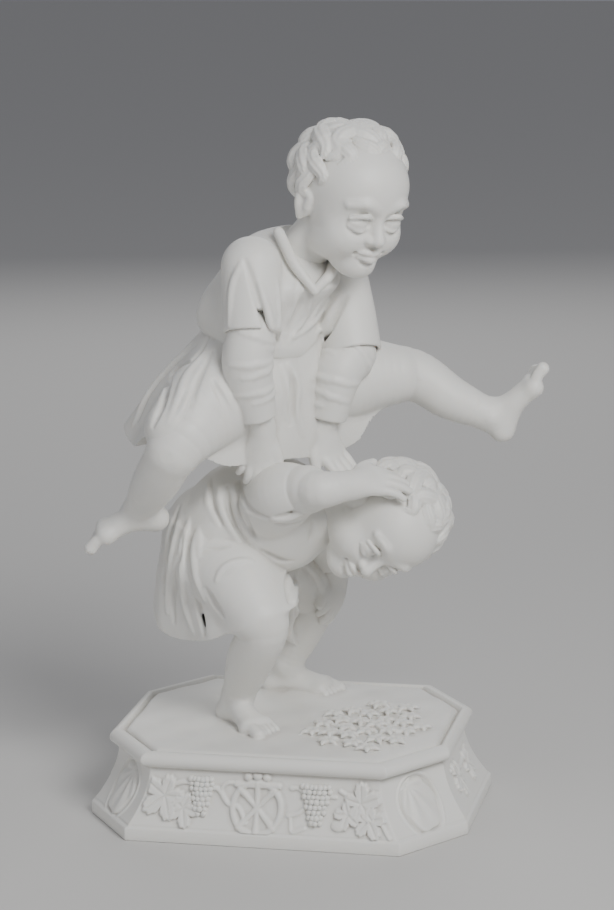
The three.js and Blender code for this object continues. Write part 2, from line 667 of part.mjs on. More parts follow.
function bendingChild() {
  const { near, far } = bender;
  const side = at(0, 1, 0);
  const body = trunk(bender.bodice, bender.front, side, 7, 0.03);
  const waistRing = oval(bender.waist, bender.waistAcross, at(0, -1, 0), ...bender.waistRadii, garmentSides);
  const cloth = skirt(waistRing, bender.hem, { bulge: 1.5, folds: 6, foldDepth: 1.8, hollow: 0.3 });
  const sleeve = { sides: sleeveSides };
  return [
    body,
    cloth,
    ball(bender.seat, 25, 28, 28, 10, 7),
    limb([...near.thigh, near.knee], [22, 18, 14], { sides: thighSides }),
    limb([...far.thigh, far.knee], [21, 17, 13.5], { sides: thighSides }),
    limb([bender.neck, bender.head], [14, 12.5], { steps: 1 }),
    limb([near.shoulder, near.sleeve, near.cuff], [16, 15, 10.5], sleeve),
    limb([near.cuff, near.cuffEnd], [10.5, 10.5], { steps: 1 }),
    limb([near.cuff, near.elbow, near.wrist], [9, 8.4, 6.2]),
    ...hand(near),
    limb([far.shoulder, far.sleeve, far.elbow], [15, 12.5, 10.5], sleeve),
    limb([far.elbow, far.wrist], [8, 6], { steps: 1 }),
    ...hand(far),
    limb([near.knee, near.calf, near.ankle], [12, 11.2, 7.4]),
    ...foot(near.heel, near.ball, near.toe, at(0, 0, 1), 1),
    limb([far.knee, far.calf, far.ankle], [11.5, 11, 7.4]),
    ...foot(far.heel, far.ball, far.toe, at(0, 0, 1), -1),
    ...head(bender),
  ];
}

// Draws together the slivers that joining leaves. An edge shorter than the limit closes to its middle, if the
// skin stays closed and no face turns over.
function closeSlivers(manifold, limit) {
  const mesh = manifold.getMesh();
  const points = [];
  for (let k = 0; k < mesh.vertProperties.length; k += 3) {
    points.push(at(mesh.vertProperties[k], mesh.vertProperties[k + 1], mesh.vertProperties[k + 2]));
  }
  const faces = [];
  const facesAt = points.map(() => new Set());
  for (let t = 0; t < mesh.triVerts.length; t += 3) {
    const face = Array.from(mesh.triVerts.slice(t, t + 3));
    face.forEach((v) => facesAt[v].add(faces.length));
    faces.push(face);
  }
  const neighbours = (v) => new Set([...facesAt[v]].flatMap((f) => faces[f]).filter((n) => n !== v));
  const areaVector = (corners) => corners[1].clone().sub(corners[0]).cross(corners[2].clone().sub(corners[0]));

  const keepsShape = (a, b, middle) => [...facesAt[a], ...facesAt[b]].every((f) => {
    const face = faces[f];
    if (face.includes(a) && face.includes(b)) {
      return true;
    }
    const before = areaVector(face.map((v) => points[v]));
    const after = areaVector(face.map((v) => (v === a || v === b ? middle : points[v])));
    const faintest = 0.02;
    const staysUp = before.length() < faintest || before.normalize().dot(after.normalize()) > 0.5;
    return after.length() > faintest && staysUp;
  });

  const close = (a, b) => {
    const shared = [...neighbours(a)].filter((n) => neighbours(b).has(n));
    const middle = points[a].clone().lerp(points[b], 0.5);
    const leavesFlap = shared.some((n) => facesAt[n].size < 4);
    if (shared.length !== 2 || leavesFlap || !keepsShape(a, b, middle)) {
      return false;
    }
    points[a] = middle;
    [...facesAt[b]].forEach((f) => {
      if (faces[f].includes(a)) {
        faces[f].forEach((v) => facesAt[v].delete(f));
        faces[f] = null;
      } else {
        faces[f] = faces[f].map((v) => (v === b ? a : v));
        facesAt[a].add(f);
      }
    });
    facesAt[b].clear();
    return true;
  };

  for (const reachNow of [limit * 0.25, limit * 0.5, limit * 0.75, limit, limit]) {
    points.forEach((point, a) => {
      const near = [...neighbours(a)].filter((b) => points[a].distanceTo(points[b]) < reachNow);
      near.some((b) => close(a, b));
    });
  }
  return { points, faces: faces.filter((face) => face !== null) };
}

function toGeometry({ points, faces }) {
  const geometry = new THREE.BufferGeometry();
  geometry.setAttribute('position', new THREE.Float32BufferAttribute(points.flatMap((p) => p.toArray()), 3));
  geometry.setIndex(faces.flat());
  return mergeVertices(geometry, 1e-5);
}

const bisque = new THREE.MeshStandardMaterial({ color: 0xe9e6df, roughness: 0.5, metalness: 0 });
const group = new THREE.Group();
const whole = fuse([...plinth(), ...bendingChild(), ...leapingChild()]);
const casting = new THREE.Mesh(toGeometry(closeSlivers(whole, sliver)), bisque);
casting.name = 'leapfrog_group';
group.add(casting);

export default group;
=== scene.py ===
"""Leapfrog figure group: one child leaps over the bent back of another, on a moulded octagonal plinth."""

import math

import bpy
import numpy as np
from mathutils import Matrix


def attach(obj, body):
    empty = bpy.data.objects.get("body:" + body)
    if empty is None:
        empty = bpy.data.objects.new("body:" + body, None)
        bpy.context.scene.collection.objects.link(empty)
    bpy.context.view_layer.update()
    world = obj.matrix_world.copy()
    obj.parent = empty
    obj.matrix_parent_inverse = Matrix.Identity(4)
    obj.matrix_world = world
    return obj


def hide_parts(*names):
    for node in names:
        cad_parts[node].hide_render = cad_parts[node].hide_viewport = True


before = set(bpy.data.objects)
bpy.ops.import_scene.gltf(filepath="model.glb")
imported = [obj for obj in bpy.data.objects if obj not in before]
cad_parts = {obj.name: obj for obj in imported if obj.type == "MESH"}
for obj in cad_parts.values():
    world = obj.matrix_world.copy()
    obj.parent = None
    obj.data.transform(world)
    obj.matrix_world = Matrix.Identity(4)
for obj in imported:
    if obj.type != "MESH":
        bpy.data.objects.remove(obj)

import openvdb
from mathutils import Matrix

bl_info = {
    "name": "Leapfrog figure group",
    "version": (1, 0, 0),
    "blender": (4, 5, 0),
    "location": "3D View > Sidebar > Leapfrog",
    "description": "Models a bisque group of two children at leapfrog on an octagonal plinth",
    "category": "Add Mesh",
}

MM = 0.001
FAR = 5.0

# The front view: turn and height of the eye in degrees, its distance in mm, the picture in pixels.
VIEW = dict(turn=12.0, rise=12.2, distance=1419.0, focal=3000.0, across=8.34, height=170.3, roll=0.69)
PICTURE = (614, 910)


# Small vector helpers


def vec(*values):
    return np.array(values, float)


def unit(v):
    v = np.asarray(v, float)
    return v / np.linalg.norm(v)


def smoothstep(a, b, x):
    t = np.clip((x - a) / (b - a), 0.0, 1.0)
    return t * t * (3.0 - 2.0 * t)


def curve(points, count, closed=False):
    """A smooth curve through the points, sampled evenly from point to point. Extra columns ride along."""
    p = np.asarray(points, float)
    n = len(p)
    if closed:
        p = np.vstack([p[-1], p, p[0], p[1]])
        spans = n
        t = np.arange(count) * spans / count
    else:
        p = np.vstack([2 * p[0] - p[1], p, 2 * p[-1] - p[-2]])
        spans = n - 1
        t = np.linspace(0, spans, count)
    k = np.minimum(t.astype(int), spans - 1)
    w = (t - k)[:, None]
    p0, p1, p2, p3 = p[k], p[k + 1], p[k + 2], p[k + 3]
    gap = [np.maximum(np.linalg.norm((b - a)[:, :3], axis=1), 1e-4)[:, None] ** 0.5
           for a, b in ((p0, p1), (p1, p2), (p2, p3))]
    d0, d1, d2 = gap
    t1 = ((p1 - p0) / d0 - (p2 - p0) / (d0 + d1) + (p2 - p1) / d1) * d1
    t2 = ((p2 - p1) / d1 - (p3 - p1) / (d1 + d2) + (p3 - p2) / d2) * d1
    return p1 + w * t1 + w ** 2 * (3 * (p2 - p1) - 2 * t1 - t2) + w ** 3 * (2 * (p1 - p2) + t1 + t2)


def with_radii(path, radii, count, closed=False):
    rows = np.c_[np.asarray(path, float), np.asarray(radii, float)]
    rows = curve(rows, count, closed)
    return rows[:, :3], rows[:, 3]


def smooth_min(a, b, k):
    if k <= 0:
        return np.minimum(a, b)
    h = np.clip(0.5 + (0.5 / k) * (b - a), 0.0, 1.0)
    return b + (a - b) * h - k * h * (1.0 - h)


def smooth_max(a, b, k):
    return -smooth_min(-a, -b, k)


# The eye of the front view


class Eye:
    def __init__(self):
        a, e, r = (math.radians(VIEW[k]) for k in ("turn", "rise", "roll"))
        self.back = vec(math.sin(a) * math.cos(e), -math.cos(a) * math.cos(e), math.sin(e))
        right = vec(math.cos(a), math.sin(a), 0.0)
        up = np.cross(self.back, right)
        self.place = vec(0, 0, VIEW["height"]) + right * VIEW["across"] + self.back * VIEW["distance"]
        self.right = right * math.cos(r) - up * math.sin(r)
        self.up = right * math.sin(r) + up * math.cos(r)

    def ray(self, u, v):
        x = (u - PICTURE[0] / 2) / VIEW["focal"]
        y = (PICTURE[1] / 2 - v) / VIEW["focal"]
        return unit(self.right * x + self.up * y - self.back)


EYE = Eye()


# Modelling clay: a lattice of distances to the surface, in mm, negative inside


class Clay:
    def __init__(self, low, high, cell):
        self.cell = cell
        self.start = np.floor(np.asarray(low, float) / cell).astype(int)
        self.count = np.ceil(np.asarray(high, float) / cell).astype(int) - self.start + 1
        self.field = np.full(self.count, FAR, np.float32)

    def layer(self, low, high):
        return Clay(low, high, self.cell)

    def window(self, low, high):
        a = np.clip(np.floor(np.asarray(low) / self.cell).astype(int) - self.start, 0, self.count)
        b = np.clip(np.ceil(np.asarray(high) / self.cell).astype(int) - self.start + 1, 0, self.count)
        b = np.maximum(a, b)
        box = tuple(slice(int(i), int(j)) for i, j in zip(a, b))
        axes = [((np.arange(i, j) + s) * self.cell).astype(np.float32) for i, j, s in zip(a, b, self.start)]
        x, y, z = axes
        return box, (x[:, None, None], y[None, :, None], z[None, None, :])

    def chain(self, path, radii, spare=3.0, flat=1.0, normal=None, strands=0, groove=0.0):
        """Round-ended links of changing girth. flat squeezes the section along normal, strands furrow it."""
        path = np.asarray(path, float)
        radii = np.broadcast_to(np.asarray(radii, float), (len(path),))
        grow = radii.max() + spare
        box, _ = self.window(path.min(0) - grow, path.max(0) + grow)
        dist = np.full([s.stop - s.start for s in box], FAR, np.float32)
        for i in range(len(path) - 1):
            a, b, ra, rb = path[i], path[i + 1], radii[i], radii[i + 1]
            grow = max(ra, rb) + spare
            inner, (x, y, z) = self.window(np.minimum(a, b) - grow, np.maximum(a, b) + grow)
            if any(s.stop <= s.start for s in inner):
                continue
            part = tuple(slice(p.start - q.start, p.stop - q.start) for p, q in zip(inner, box))
            axis = b - a
            px, py, pz = x - a[0], y - a[1], z - a[2]
            h = (px * axis[0] + py * axis[1] + pz * axis[2]) / max(float(axis @ axis), 1e-9)
            h = np.clip(h, 0.0, 1.0).astype(np.float32)
            qx, qy, qz = px - axis[0] * h, py - axis[1] * h, pz - axis[2] * h
            radius = ra + (rb - ra) * h
            extra = 0.0
            if normal is not None:
                n = normal[i] if np.ndim(normal) == 2 else normal
                if strands:
                    side = unit(np.cross(axis, n))
                    across = (qx * side[0] + qy * side[1] + qz * side[2]) / np.maximum(radius, 0.3)
                    extra = groove * (0.5 + 0.5 * np.cos(math.pi * strands * across))
                squeeze = (qx * n[0] + qy * n[1] + qz * n[2]) * (1.0 / flat - 1.0)
                qx, qy, qz = qx + n[0] * squeeze, qy + n[1] * squeeze, qz + n[2] * squeeze
            d = np.sqrt(qx * qx + qy * qy + qz * qz) - radius + extra
            dist[part] = np.minimum(dist[part], d)
        return box, dist

    def ellipsoid(self, centre, radii, axes=None, spare=3.0):
        centre = np.asarray(centre, float)
        r = np.broadcast_to(np.asarray(radii, float), (3,))
        axes = np.eye(3) if axes is None else np.asarray(axes, float)
        grow = np.sqrt(((axes * r[:, None]) ** 2).sum(0)) + spare
        box, (x, y, z) = self.window(centre - grow, centre + grow)
        px, py, pz = x - centre[0], y - centre[1], z - centre[2]
        inner, outer = 0.0, 0.0
        for n, radius in zip(axes, r):
            q = (px * n[0] + py * n[1] + pz * n[2]) / radius
            inner = inner + q * q
            outer = outer + (q / radius) ** 2
        k0 = np.sqrt(inner)
        return box, (k0 * (k0 - 1.0) / np.maximum(np.sqrt(outer), 1e-6)).astype(np.float32)

    def loft(self, rings):
        """The closed skin through rings of points, with flat ends."""
        rings = np.asarray(rings, float)
        m, n = rings.shape[:2]
        points = np.vstack([rings.reshape(-1, 3), rings[0].mean(0), rings[-1].mean(0)])
        i, j = np.meshgrid(np.arange(m - 1), np.arange(n), indexing="ij")
        a, b = (i * n + j).ravel(), (i * n + (j + 1) % n).ravel()
        faces = [np.c_[a, b, b + n], np.c_[a, b + n, a + n]]
        j = np.arange(n)
        k = (j + 1) % n
        faces.append(np.c_[k, j, np.full(n, m * n)])
        faces.append(np.c_[j + (m - 1) * n, k + (m - 1) * n, np.full(n, m * n + 1)])
        grid = openvdb.FloatGrid.createLevelSetFromPolygons(
            points.astype(np.float32),
            triangles=np.vstack(faces).astype(np.uint32),
            transform=openvdb.createLinearTransform(voxelSize=self.cell),
            halfWidth=FAR / self.cell,
        )
        box, _ = self.window(points.min(0) - FAR, points.max(0) + FAR)
        dist = np.full([s.stop - s.start for s in box], FAR, np.float32)
        grid.copyToArray(dist, ijk=tuple(int(s.start + o) for s, o in zip(box, self.start)))
        return box, dist

    def plane(self, box, point, normal):
        axes = [((np.arange(s.start, s.stop) + o) * self.cell).astype(np.float32) for s, o in zip(box, self.start)]
        x, y, z = axes
        n = unit(normal)
        return ((x[:, None, None] - point[0]) * n[0] + (y[None, :, None] - point[1]) * n[1]
                + (z[None, None, :] - point[2]) * n[2])

    def add(self, shape, k=0.0):
        box, dist = shape
        self.field[box] = smooth_min(self.field[box], dist, k)

    def cut(self, shape, k=0.0):
        box, dist = shape
        self.field[box] = smooth_max(self.field[box], -dist, k)

    def merge(self, other, k=0.0):
        shift = other.start - self.start
        a = np.maximum(shift, 0)
        b = np.minimum(shift + other.count, self.count)
        box = tuple(slice(int(i), int(j)) for i, j in zip(a, b))
        part = tuple(slice(int(i - s), int(j - s)) for i, j, s in zip(a, b, shift))
        self.field[box] = smooth_min(self.field[box], other.field[part], k)

    def sample(self, points):
        index = np.rint(np.asarray(points) / self.cell).astype(int) - self.start
        inside = ((index >= 0) & (index < self.count)).all(1)
        index = np.clip(index, 0, self.count - 1)
        values = self.field[index[:, 0], index[:, 1], index[:, 2]]
        return np.where(inside, values, FAR)

    def slope(self, points):
        step = self.cell * 1.5
        rows = [self.sample(points + step * axis) - self.sample(points - step * axis) for axis in np.eye(3)]
        n = np.stack(rows, 1)
        return n / np.maximum(np.linalg.norm(n, axis=1), 1e-6)[:, None]

    def seen(self, u, v):
        """Where the line of sight through a point of the front view meets the clay, or None."""
        ray = EYE.ray(u, v)
        low = self.start * self.cell
        high = (self.start + self.count - 1) * self.cell
        with np.errstate(divide="ignore"):
            t0 = (low - EYE.place) / ray
            t1 = (high - EYE.place) / ray
        near = np.minimum(t0, t1).max()
        far = np.maximum(t0, t1).min()
        if far <= near:
            return None
        t = np.arange(near, far, self.cell * 0.5)
        values = self.sample(EYE.place + t[:, None] * ray)
        inside = np.nonzero(values < 0)[0]
        if len(inside):
            return EYE.place + t[inside[0]] * ray
        best = int(values.argmin())
        return EYE.place + t[best] * ray if values[best] < 2.5 else None

    def stroke(self, pixels, width, depth, k=1.6, spread=3.0, taper=1.0):
        """Draws a fold along a line of the front view: raised where depth is positive, sunk where negative."""
        line = curve(np.c_[np.asarray(pixels, float), np.zeros(len(pixels))],
                     max(6, int(sum(math.dist(a, b) for a, b in zip(pixels, pixels[1:])) / spread)))
        found = [p for p in (self.seen(u, v) for u, v, _ in line) if p is not None]
        if len(found) < 3:
            return
        path = np.array(found)
        for _ in range(2):
            path[1:-1] = (path[:-2] + 2 * path[1:-1] + path[2:]) / 4
        t = np.linspace(0, 1, len(path))
        swell = np.sin(math.pi * np.clip(t, 0.02, 0.98)) ** (0.55 * taper)
        radii = width * (0.25 + 0.75 * swell)
        normal = self.slope(path)
        if depth > 0:
            path = path + normal * (depth * swell - radii)[:, None]
            self.add(self.chain(path, radii, spare=k + 1), k)
        else:
            path = path + normal * (radii + depth * swell)[:, None]
            self.cut(self.chain(path, radii, spare=k + 1), k)


# Limbs, hands and feet


def limb(clay, path, radii, k=2.0, flat=1.0, normal=None, per=6):
    path, radii = with_radii(path, radii, per * (len(path) - 1) + 1)
    clay.add(clay.chain(path, radii, spare=k + 1, flat=flat, normal=normal), k)


def hand(clay, wrist, knuckles, tips, back, thumb, wrist_radius):
    wrist, knuckles, tips = vec(*wrist), vec(*knuckles), vec(*tips)
    along = unit(knuckles - wrist)
    lift = unit(np.asarray(back) - along * (np.asarray(back) @ along))
    across = np.cross(along, lift) * thumb
    reach = tips - knuckles
    for n, length, girth in ((1.5, 0.88, 2.35), (0.5, 1.0, 2.45), (-0.5, 0.96, 2.35), (-1.5, 0.78, 2.1)):
        heel = wrist + across * n * 1.6 - lift * 0.4
        root = knuckles + across * n * 3.9 - along * (0.9 * n * n - 0.9) + lift * (0.5 - 0.35 * n * n)
        limb(clay, [heel, (heel + root) / 2 + lift * 0.7, root], [3.4, 3.1, 2.7], k=3.2, per=4)
        tip = root + reach * length + across * n * 0.55
        first = root + reach * length * 0.42 + lift * 1.1
        second = root + reach * length * 0.74 + lift * 0.9
        limb(clay, [root, first, second, tip], [girth, girth * 0.95, girth * 0.9, girth * 0.76], k=0.9, per=4)
    mound = wrist * 0.72 + knuckles * 0.28 + across * 4.2 - lift * 1.2
    joint = wrist * 0.3 + knuckles * 0.7 + across * 8.6 - lift * 1.6
    end = knuckles + along * 3.2 + across * 10.4 - lift * 2.2
    limb(clay, [mound, joint, end], [3.7, 2.9, 2.1], k=1.8, per=4)
    limb(clay, [wrist - along * 3, wrist + along * 4], [wrist_radius * 0.95, 4.6], k=3.5, flat=0.82, normal=lift)


def foot(clay, ankle, heel, ball, toe, up, big, ankle_radius):
    ankle, heel, ball, toe = vec(*ankle), vec(*heel), vec(*ball), vec(*toe)
    along = unit(toe - heel)
    lift = unit(np.asarray(up) - along * (np.asarray(up) @ along))
    across = np.cross(along, lift) * big
    arch = (heel + ball) / 2 + lift * 2.2
    limb(clay, [heel + lift * 1.2, heel + lift * 3.5 + along * 2], [5.6, 5.8], k=3.0)
    limb(clay, [ankle, arch + lift * 2.2, ball + lift * 1.0], [ankle_radius * 0.95, 5.2, 4.0], k=4.0)
    limb(clay, [heel - across * 1.2, arch - across * 2.2 - lift * 1.4, ball - across * 4.6 - lift * 0.2],
         [4.6, 4.0, 3.6], k=3.5)
    limb(clay, [heel + across * 0.8, arch + across * 1.8, ball + across * 4.2], [4.6, 4.0, 4.1], k=3.5)
    limb(clay, [ball + across * 4.4, ball, ball - across * 4.6], [3.9, 3.9, 3.3], k=3.0)
    for side in (1, -1):
        clay.add(clay.ellipsoid(ankle + across * side * ankle_radius * 0.78 + lift * 0.5, 2.6), 2.5)
    for n in range(5):
        girth = 3.1 if n == 0 else 2.35 - 0.14 * n
        root = ball + across * (5.0 - 2.75 * n) - along * (0.5 * n)
        tip = toe + across * (4.6 - 2.95 * n) - along * (0.6 + 0.95 * n) - lift * 0.5
        knuckle = root * 0.45 + tip * 0.55 + lift * 0.9
        limb(clay, [root, knuckle, tip], [girth * 1.05, girth * 0.92, girth * 1.02], k=0.8, per=4)


def sleeve(clay, path, radii, wall=1.9, depth=7.0, k=1.5, per=6):
    """A cloth tube with an open end: the path's last point is the hem."""
    path, radii = with_radii(path, radii, per * (len(path) - 1) + 1)
    out = unit(path[-1] - path[-2])
    longer = np.vstack([path, path[-1] + out * radii[-1] * 1.5])
    box, dist = clay.chain(longer, np.append(radii, radii[-1]), spare=FAR)
    past = clay.plane(box, path[-1], out)
    shell = smooth_max(dist, past, 1.0)
    hollow = np.maximum(dist + wall, -(past + depth))
    clay.add((box, smooth_max(shell, -hollow, 0.7)), k)


def wrinkles(clay, path, radii, count, seed, girth=1.2, depth=0.9, span=(0.08, 0.95)):
    """Slanting creases that run part of the way around a sleeve."""
    chance = np.random.RandomState(seed)
    path, radii = with_radii(path, radii, 60)
    along = np.gradient(path, axis=0)
    for i in range(count):
        t = span[0] + (span[1] - span[0]) * (i + 0.5 * chance.rand()) / count
        middle = int(t * 59)
        axis = unit(along[middle])
        first = unit(np.cross(axis, vec(0.3, 0.2, 1.0)))
        second = np.cross(axis, first)
        begin = chance.rand() * 2 * math.pi
        arc = math.radians(110 + 110 * chance.rand()) * (1 if i % 2 else -1)
        slant = (chance.rand() - 0.5) * 9
        line = []
        for s in np.linspace(0, 1, 12):
            index = int(np.clip(middle + slant * (s - 0.5) / max(np.linalg.norm(along[middle]), 1e-3), 0, 59))
            angle = begin + arc * s
            spoke = first * math.cos(angle) + second * math.sin(angle)
            line.append(path[index] + spoke * (radii[index] + depth - girth))
        swell = 0.35 + 0.65 * np.sin(np.linspace(0.05, 0.95, 12) * math.pi)
        clay.add(clay.chain(line, girth * swell, spare=3), 1.6)


# Cloth


def oval(centre, first, second, a, b, count):
    angle = np.linspace(0, 2 * math.pi, count, endpoint=False)[:, None]
    return np.asarray(centre) + np.cos(angle) * a * np.asarray(first) + np.sin(angle) * b * np.asarray(second)


def skirt(clay, waist, hem_points, bulge, folds, wall=2.4, depth=12.0, count=240, levels=30):
    """A skirt from an oval waist to a free hem, hollow below. folds(around, down) pushes the cloth out."""
    hem = curve(hem_points, count, closed=True)
    middle = waist.mean(0)
    away = hem - middle
    away[:, 2] = 0
    away /= np.linalg.norm(away, axis=1)[:, None]
    around = np.arange(count) / count
    rings = []
    for t in np.linspace(0, 1, levels):
        push = bulge * math.sin(math.pi * t) + folds(around, t, away)
        rings.append(waist + (hem - waist) * t + away * push[:, None])
    box, dist = clay.loft(rings)
    edge = rings[-1]
    core = edge.mean(0)
    fall = unit(core - middle)
    wide = core + (edge - core) * 1.04
    lid_box, lid = clay.loft([wide - fall * depth, wide + fall * 30])
    region = np.full(dist.shape, FAR, np.float32)
    part = tuple(slice(p.start - q.start, p.stop - q.start) for p, q in zip(lid_box, box))
    inside = tuple(slice(max(0, -p.start), min(p.stop, n) - p.start) for p, n in zip(part, dist.shape))
    target = tuple(slice(max(0, p.start), min(p.stop, n)) for p, n in zip(part, dist.shape))
    region[target] = lid[inside]
    hollow = np.maximum(dist + wall, region)
    clay.add((box, smooth_max(dist, -hollow, 1.0)), 0)


def trunk(clay, stations, forward, side, folds, count=160, levels=44):
    """A bodice through oval stations: centre, half width, half depth, tip of the front in degrees."""
    rows = curve([list(c) + [w, d, tip] for c, w, d, tip in stations], levels)
    angle = np.linspace(0, 2 * math.pi, count, endpoint=False)
    rings = []
    for n, row in enumerate(rows):
        tip = math.radians(row[5])
        axis = unit(side)
        front = np.asarray(forward) * math.cos(tip) + np.cross(axis, forward) * math.sin(tip)
        swell = 1 + folds(angle, n / (levels - 1))
        rings.append(row[:3] + (np.cos(angle) * row[4] * swell)[:, None] * front
                     + (np.sin(angle) * row[3] * swell)[:, None] * axis)
    clay.add(clay.loft(rings), 0)


# Heads


class Place:
    """A head's own axes: x to its right, y out of the face, z to the crown."""

    def __init__(self, centre, face, crown, scale):
        forward = unit(face)
        up = unit(np.asarray(crown) - forward * (np.asarray(crown) @ forward))
        self.axes = np.array([np.cross(forward, up), forward, up])
        self.centre = np.asarray(centre, float)
        self.scale = scale

    def __call__(self, points):
        return self.centre + self.scale * (np.atleast_2d(np.asarray(points, float)) @ self.axes)


CAP = (vec(0, -6, 7.5), vec(24.6, 24.6, 22.2))


def on_cap(down, around, lift, tilt=18.0):
    """A point of the hair. down runs from the crown, around from the forehead, both in degrees."""
    d, a, t = math.radians(down), math.radians(around), math.radians(tilt)
    n = vec(math.sin(d) * math.sin(a), math.sin(d) * math.cos(a), math.cos(d))
    n = vec(n[0], n[1] * math.cos(t) - n[2] * math.sin(t), n[1] * math.sin(t) + n[2] * math.cos(t))
    centre, size = CAP
    far = 1.0 / np.linalg.norm(n / size)
    return centre + n * (far + lift)


def face(clay, place):
    s = place.scale

    def ball(p, r, k, cut=False):
        shape = clay.ellipsoid(place(p)[0], np.asarray(r) * s, place.axes, spare=k + 1)
        (clay.cut if cut else clay.add)(shape, k * s)

    def line(points, radii, k, cut=False, count=14):
        path, girth = with_radii(place(points), np.asarray(radii) * s, count)
        shape = clay.chain(path, girth, spare=k + 1)
        (clay.cut if cut else clay.add)(shape, k * s)

    sides = (1, -1)
    ball((0, -3, 6), (23.5, 27.5, 23.5), 0)
    ball((0, 7, -8), (18.6, 17, 20), 7)
    ball((0, 9.5, 9), (17.5, 14, 14), 6)
    for k in sides:
        ball((10.2 * k, 13, -12.5), (8.6, 8.8, 8.6), 5)
        ball((12 * k, 5, -18), (7, 9, 7), 6)
    ball((0, 16.3, -23.6), (6.2, 5.6, 5.2), 4.5)
    ball((0, 12, -27), (8, 9, 5), 6)
    for k in sides:
        ball((9.2 * k, 25.2, -3.6), (6.4, 4.6, 4.6), 4.5, cut=True)
        ball((9 * k, 18.6, -3.8), (5.3, 5.3, 5.1), 0.8)
        line([(3.4 * k, 22.4, -1.2), (8.6 * k, 24.4, 0.6), (14.2 * k, 20.8, -1.6)], [0.7, 1.25, 0.7], 0.9)
        line([(4.2 * k, 21.6, -5.8), (9 * k, 22.9, -6.9), (13.6 * k, 20.4, -5.4)], [0.6, 0.95, 0.6], 1.2)
        line([(3.6 * k, 23.2, 4.0), (9 * k, 24.0, 6.0), (15.6 * k, 19.6, 4.2)], [1.2, 1.5, 1.0], 3.0)
        line([(4.4 * k, 23.4, -2.9), (9 * k, 24.6, -1.9), (13.8 * k, 21.4, -3.0)], [0.35, 0.5, 0.35], 0.4, cut=True)
    line([(0, 20.6, 2.5), (0, 23.2, -3.5), (0, 25.6, -8.4), (0, 26.2, -10.2)], [1.7, 1.9, 2.5, 3.0], 2.2)
    for k in sides:
        ball((3.1 * k, 23.8, -11.0), (2.2, 2.6, 2.0), 1.4)
        ball((1.8 * k, 25.4, -13.2), (0.9, 1.0, 0.8), 0.5, cut=True)
    line([(0, 24.4, -13.6), (0, 23.9, -15.6)], [0.5, 0.6], 1.0, cut=True, count=4)
    line([(-6.4, 20.8, -17.9), (-2.6, 23.8, -16.9), (0, 24.2, -17.3), (2.6, 23.8, -16.9), (6.4, 20.8, -17.9)],
         [0.8, 1.5, 1.3, 1.5, 0.8], 1.2)
    line([(-4.8, 21.2, -19.6), (0, 23.8, -20.2), (4.8, 21.2, -19.6)], [0.9, 1.9, 0.9], 1.2)
    line([(-7.2, 21.4, -18.2), (-3, 25.2, -18.6), (0, 25.9, -18.9), (3, 25.2, -18.6), (7.2, 21.4, -18.2)],
         [0.4, 0.5, 0.5, 0.5, 0.4], 0.5, cut=True)
    line([(-3, 22.6, -22.4), (0, 23.4, -22.6), (3, 22.6, -22.4)], [0.8, 1.1, 0.8], 1.6, cut=True)
    for k in sides:
        ball((7.4 * k, 21.0, -17.9), (0.9, 1.2, 1.2), 1.0, cut=True)
        line([(22.6 * k, -4, -11), (25 * k, -4.5, -4), (24.5 * k, -4, 1.5), (22.8 * k, 0.5, 0), (22.4 * k, 0, -5)],
             [1.6, 1.6, 1.8, 1.5, 1.1], 1.4)
        ball((21.8 * k, -2, -4.5), (2.4, 3.4, 6), 2.5)


def lock(clay, place, start, end, girth, wave=8.0, flat=0.55, strands=3, groove=0.5, lift=(-0.8, 1.5, 0.6), turn=0.0,
         count=16):
    s = place.scale
    t = np.linspace(0, 1, count)
    path, normal = [], []
    for w in t:
        down = start[0] + (end[0] - start[0]) * w
        around = start[1] + (end[1] - start[1]) * w + wave * math.sin(2 * math.pi * w + turn) / max(
            0.35, math.sin(math.radians(max(down, 12))))
        height = np.interp(w, [0, 0.55, 1], lift)
        path.append(on_cap(down, around, height))
        normal.append(path[-1] - CAP[0])
    path = place(path)
    normal = np.array([unit(n @ place.axes) for n in normal])
    swell = np.interp(t, [0, 0.2, 0.6, 0.88, 1], [0.55, 0.95, 1.0, 0.6, 0.22])
    box = clay.chain(path, girth * s * swell, spare=2.5, flat=flat, normal=normal[:-1], strands=strands, groove=groove)
    clay.add(box, 0.35)


def hair(clay, place, rows, seed, fringe, behind=(128, 100)):
    """Waved locks in overlapping rows from the crown down. Each row: down from, down to, count, girth, face gap."""
    s = place.scale
    chance = np.random.RandomState(seed)
    centre, size = CAP
    nape = clay.ellipsoid(place(centre)[0], (size - 0.9) * s, place.axes)
    box, dist = nape
    cheek = place((0, 12.5, 4))[0]
    keep = clay.plane(box, cheek, place.axes[1] * 1.0 - place.axes[2] * 0.35)
    jaw = clay.plane(box, place((0, 0, -19))[0], -place.axes[2])
    clay.add((box, smooth_max(smooth_max(dist, keep, 3), jaw, 3)), 1.0)
    for low, high, count, girth, gap in rows:
        for i in range(count):
            around = 360.0 * (i + 0.5 * chance.rand()) / count - 180
            if abs(around) < gap:
                continue
            end = high + (chance.rand() - 0.5) * 10
            drift = (chance.rand() - 0.3) * 16
            lock(clay, place, (low, around), (end, around + drift), girth * (0.9 + 0.25 * chance.rand()),
                 wave=5 + 4 * chance.rand(), turn=chance.rand() * 6.28, strands=3)
    for start, end, girth, wave in fringe:
        lock(clay, place, start, end, girth, wave=wave, lift=(-0.6, 2.4, 1.2), flat=0.6)


# Meshes


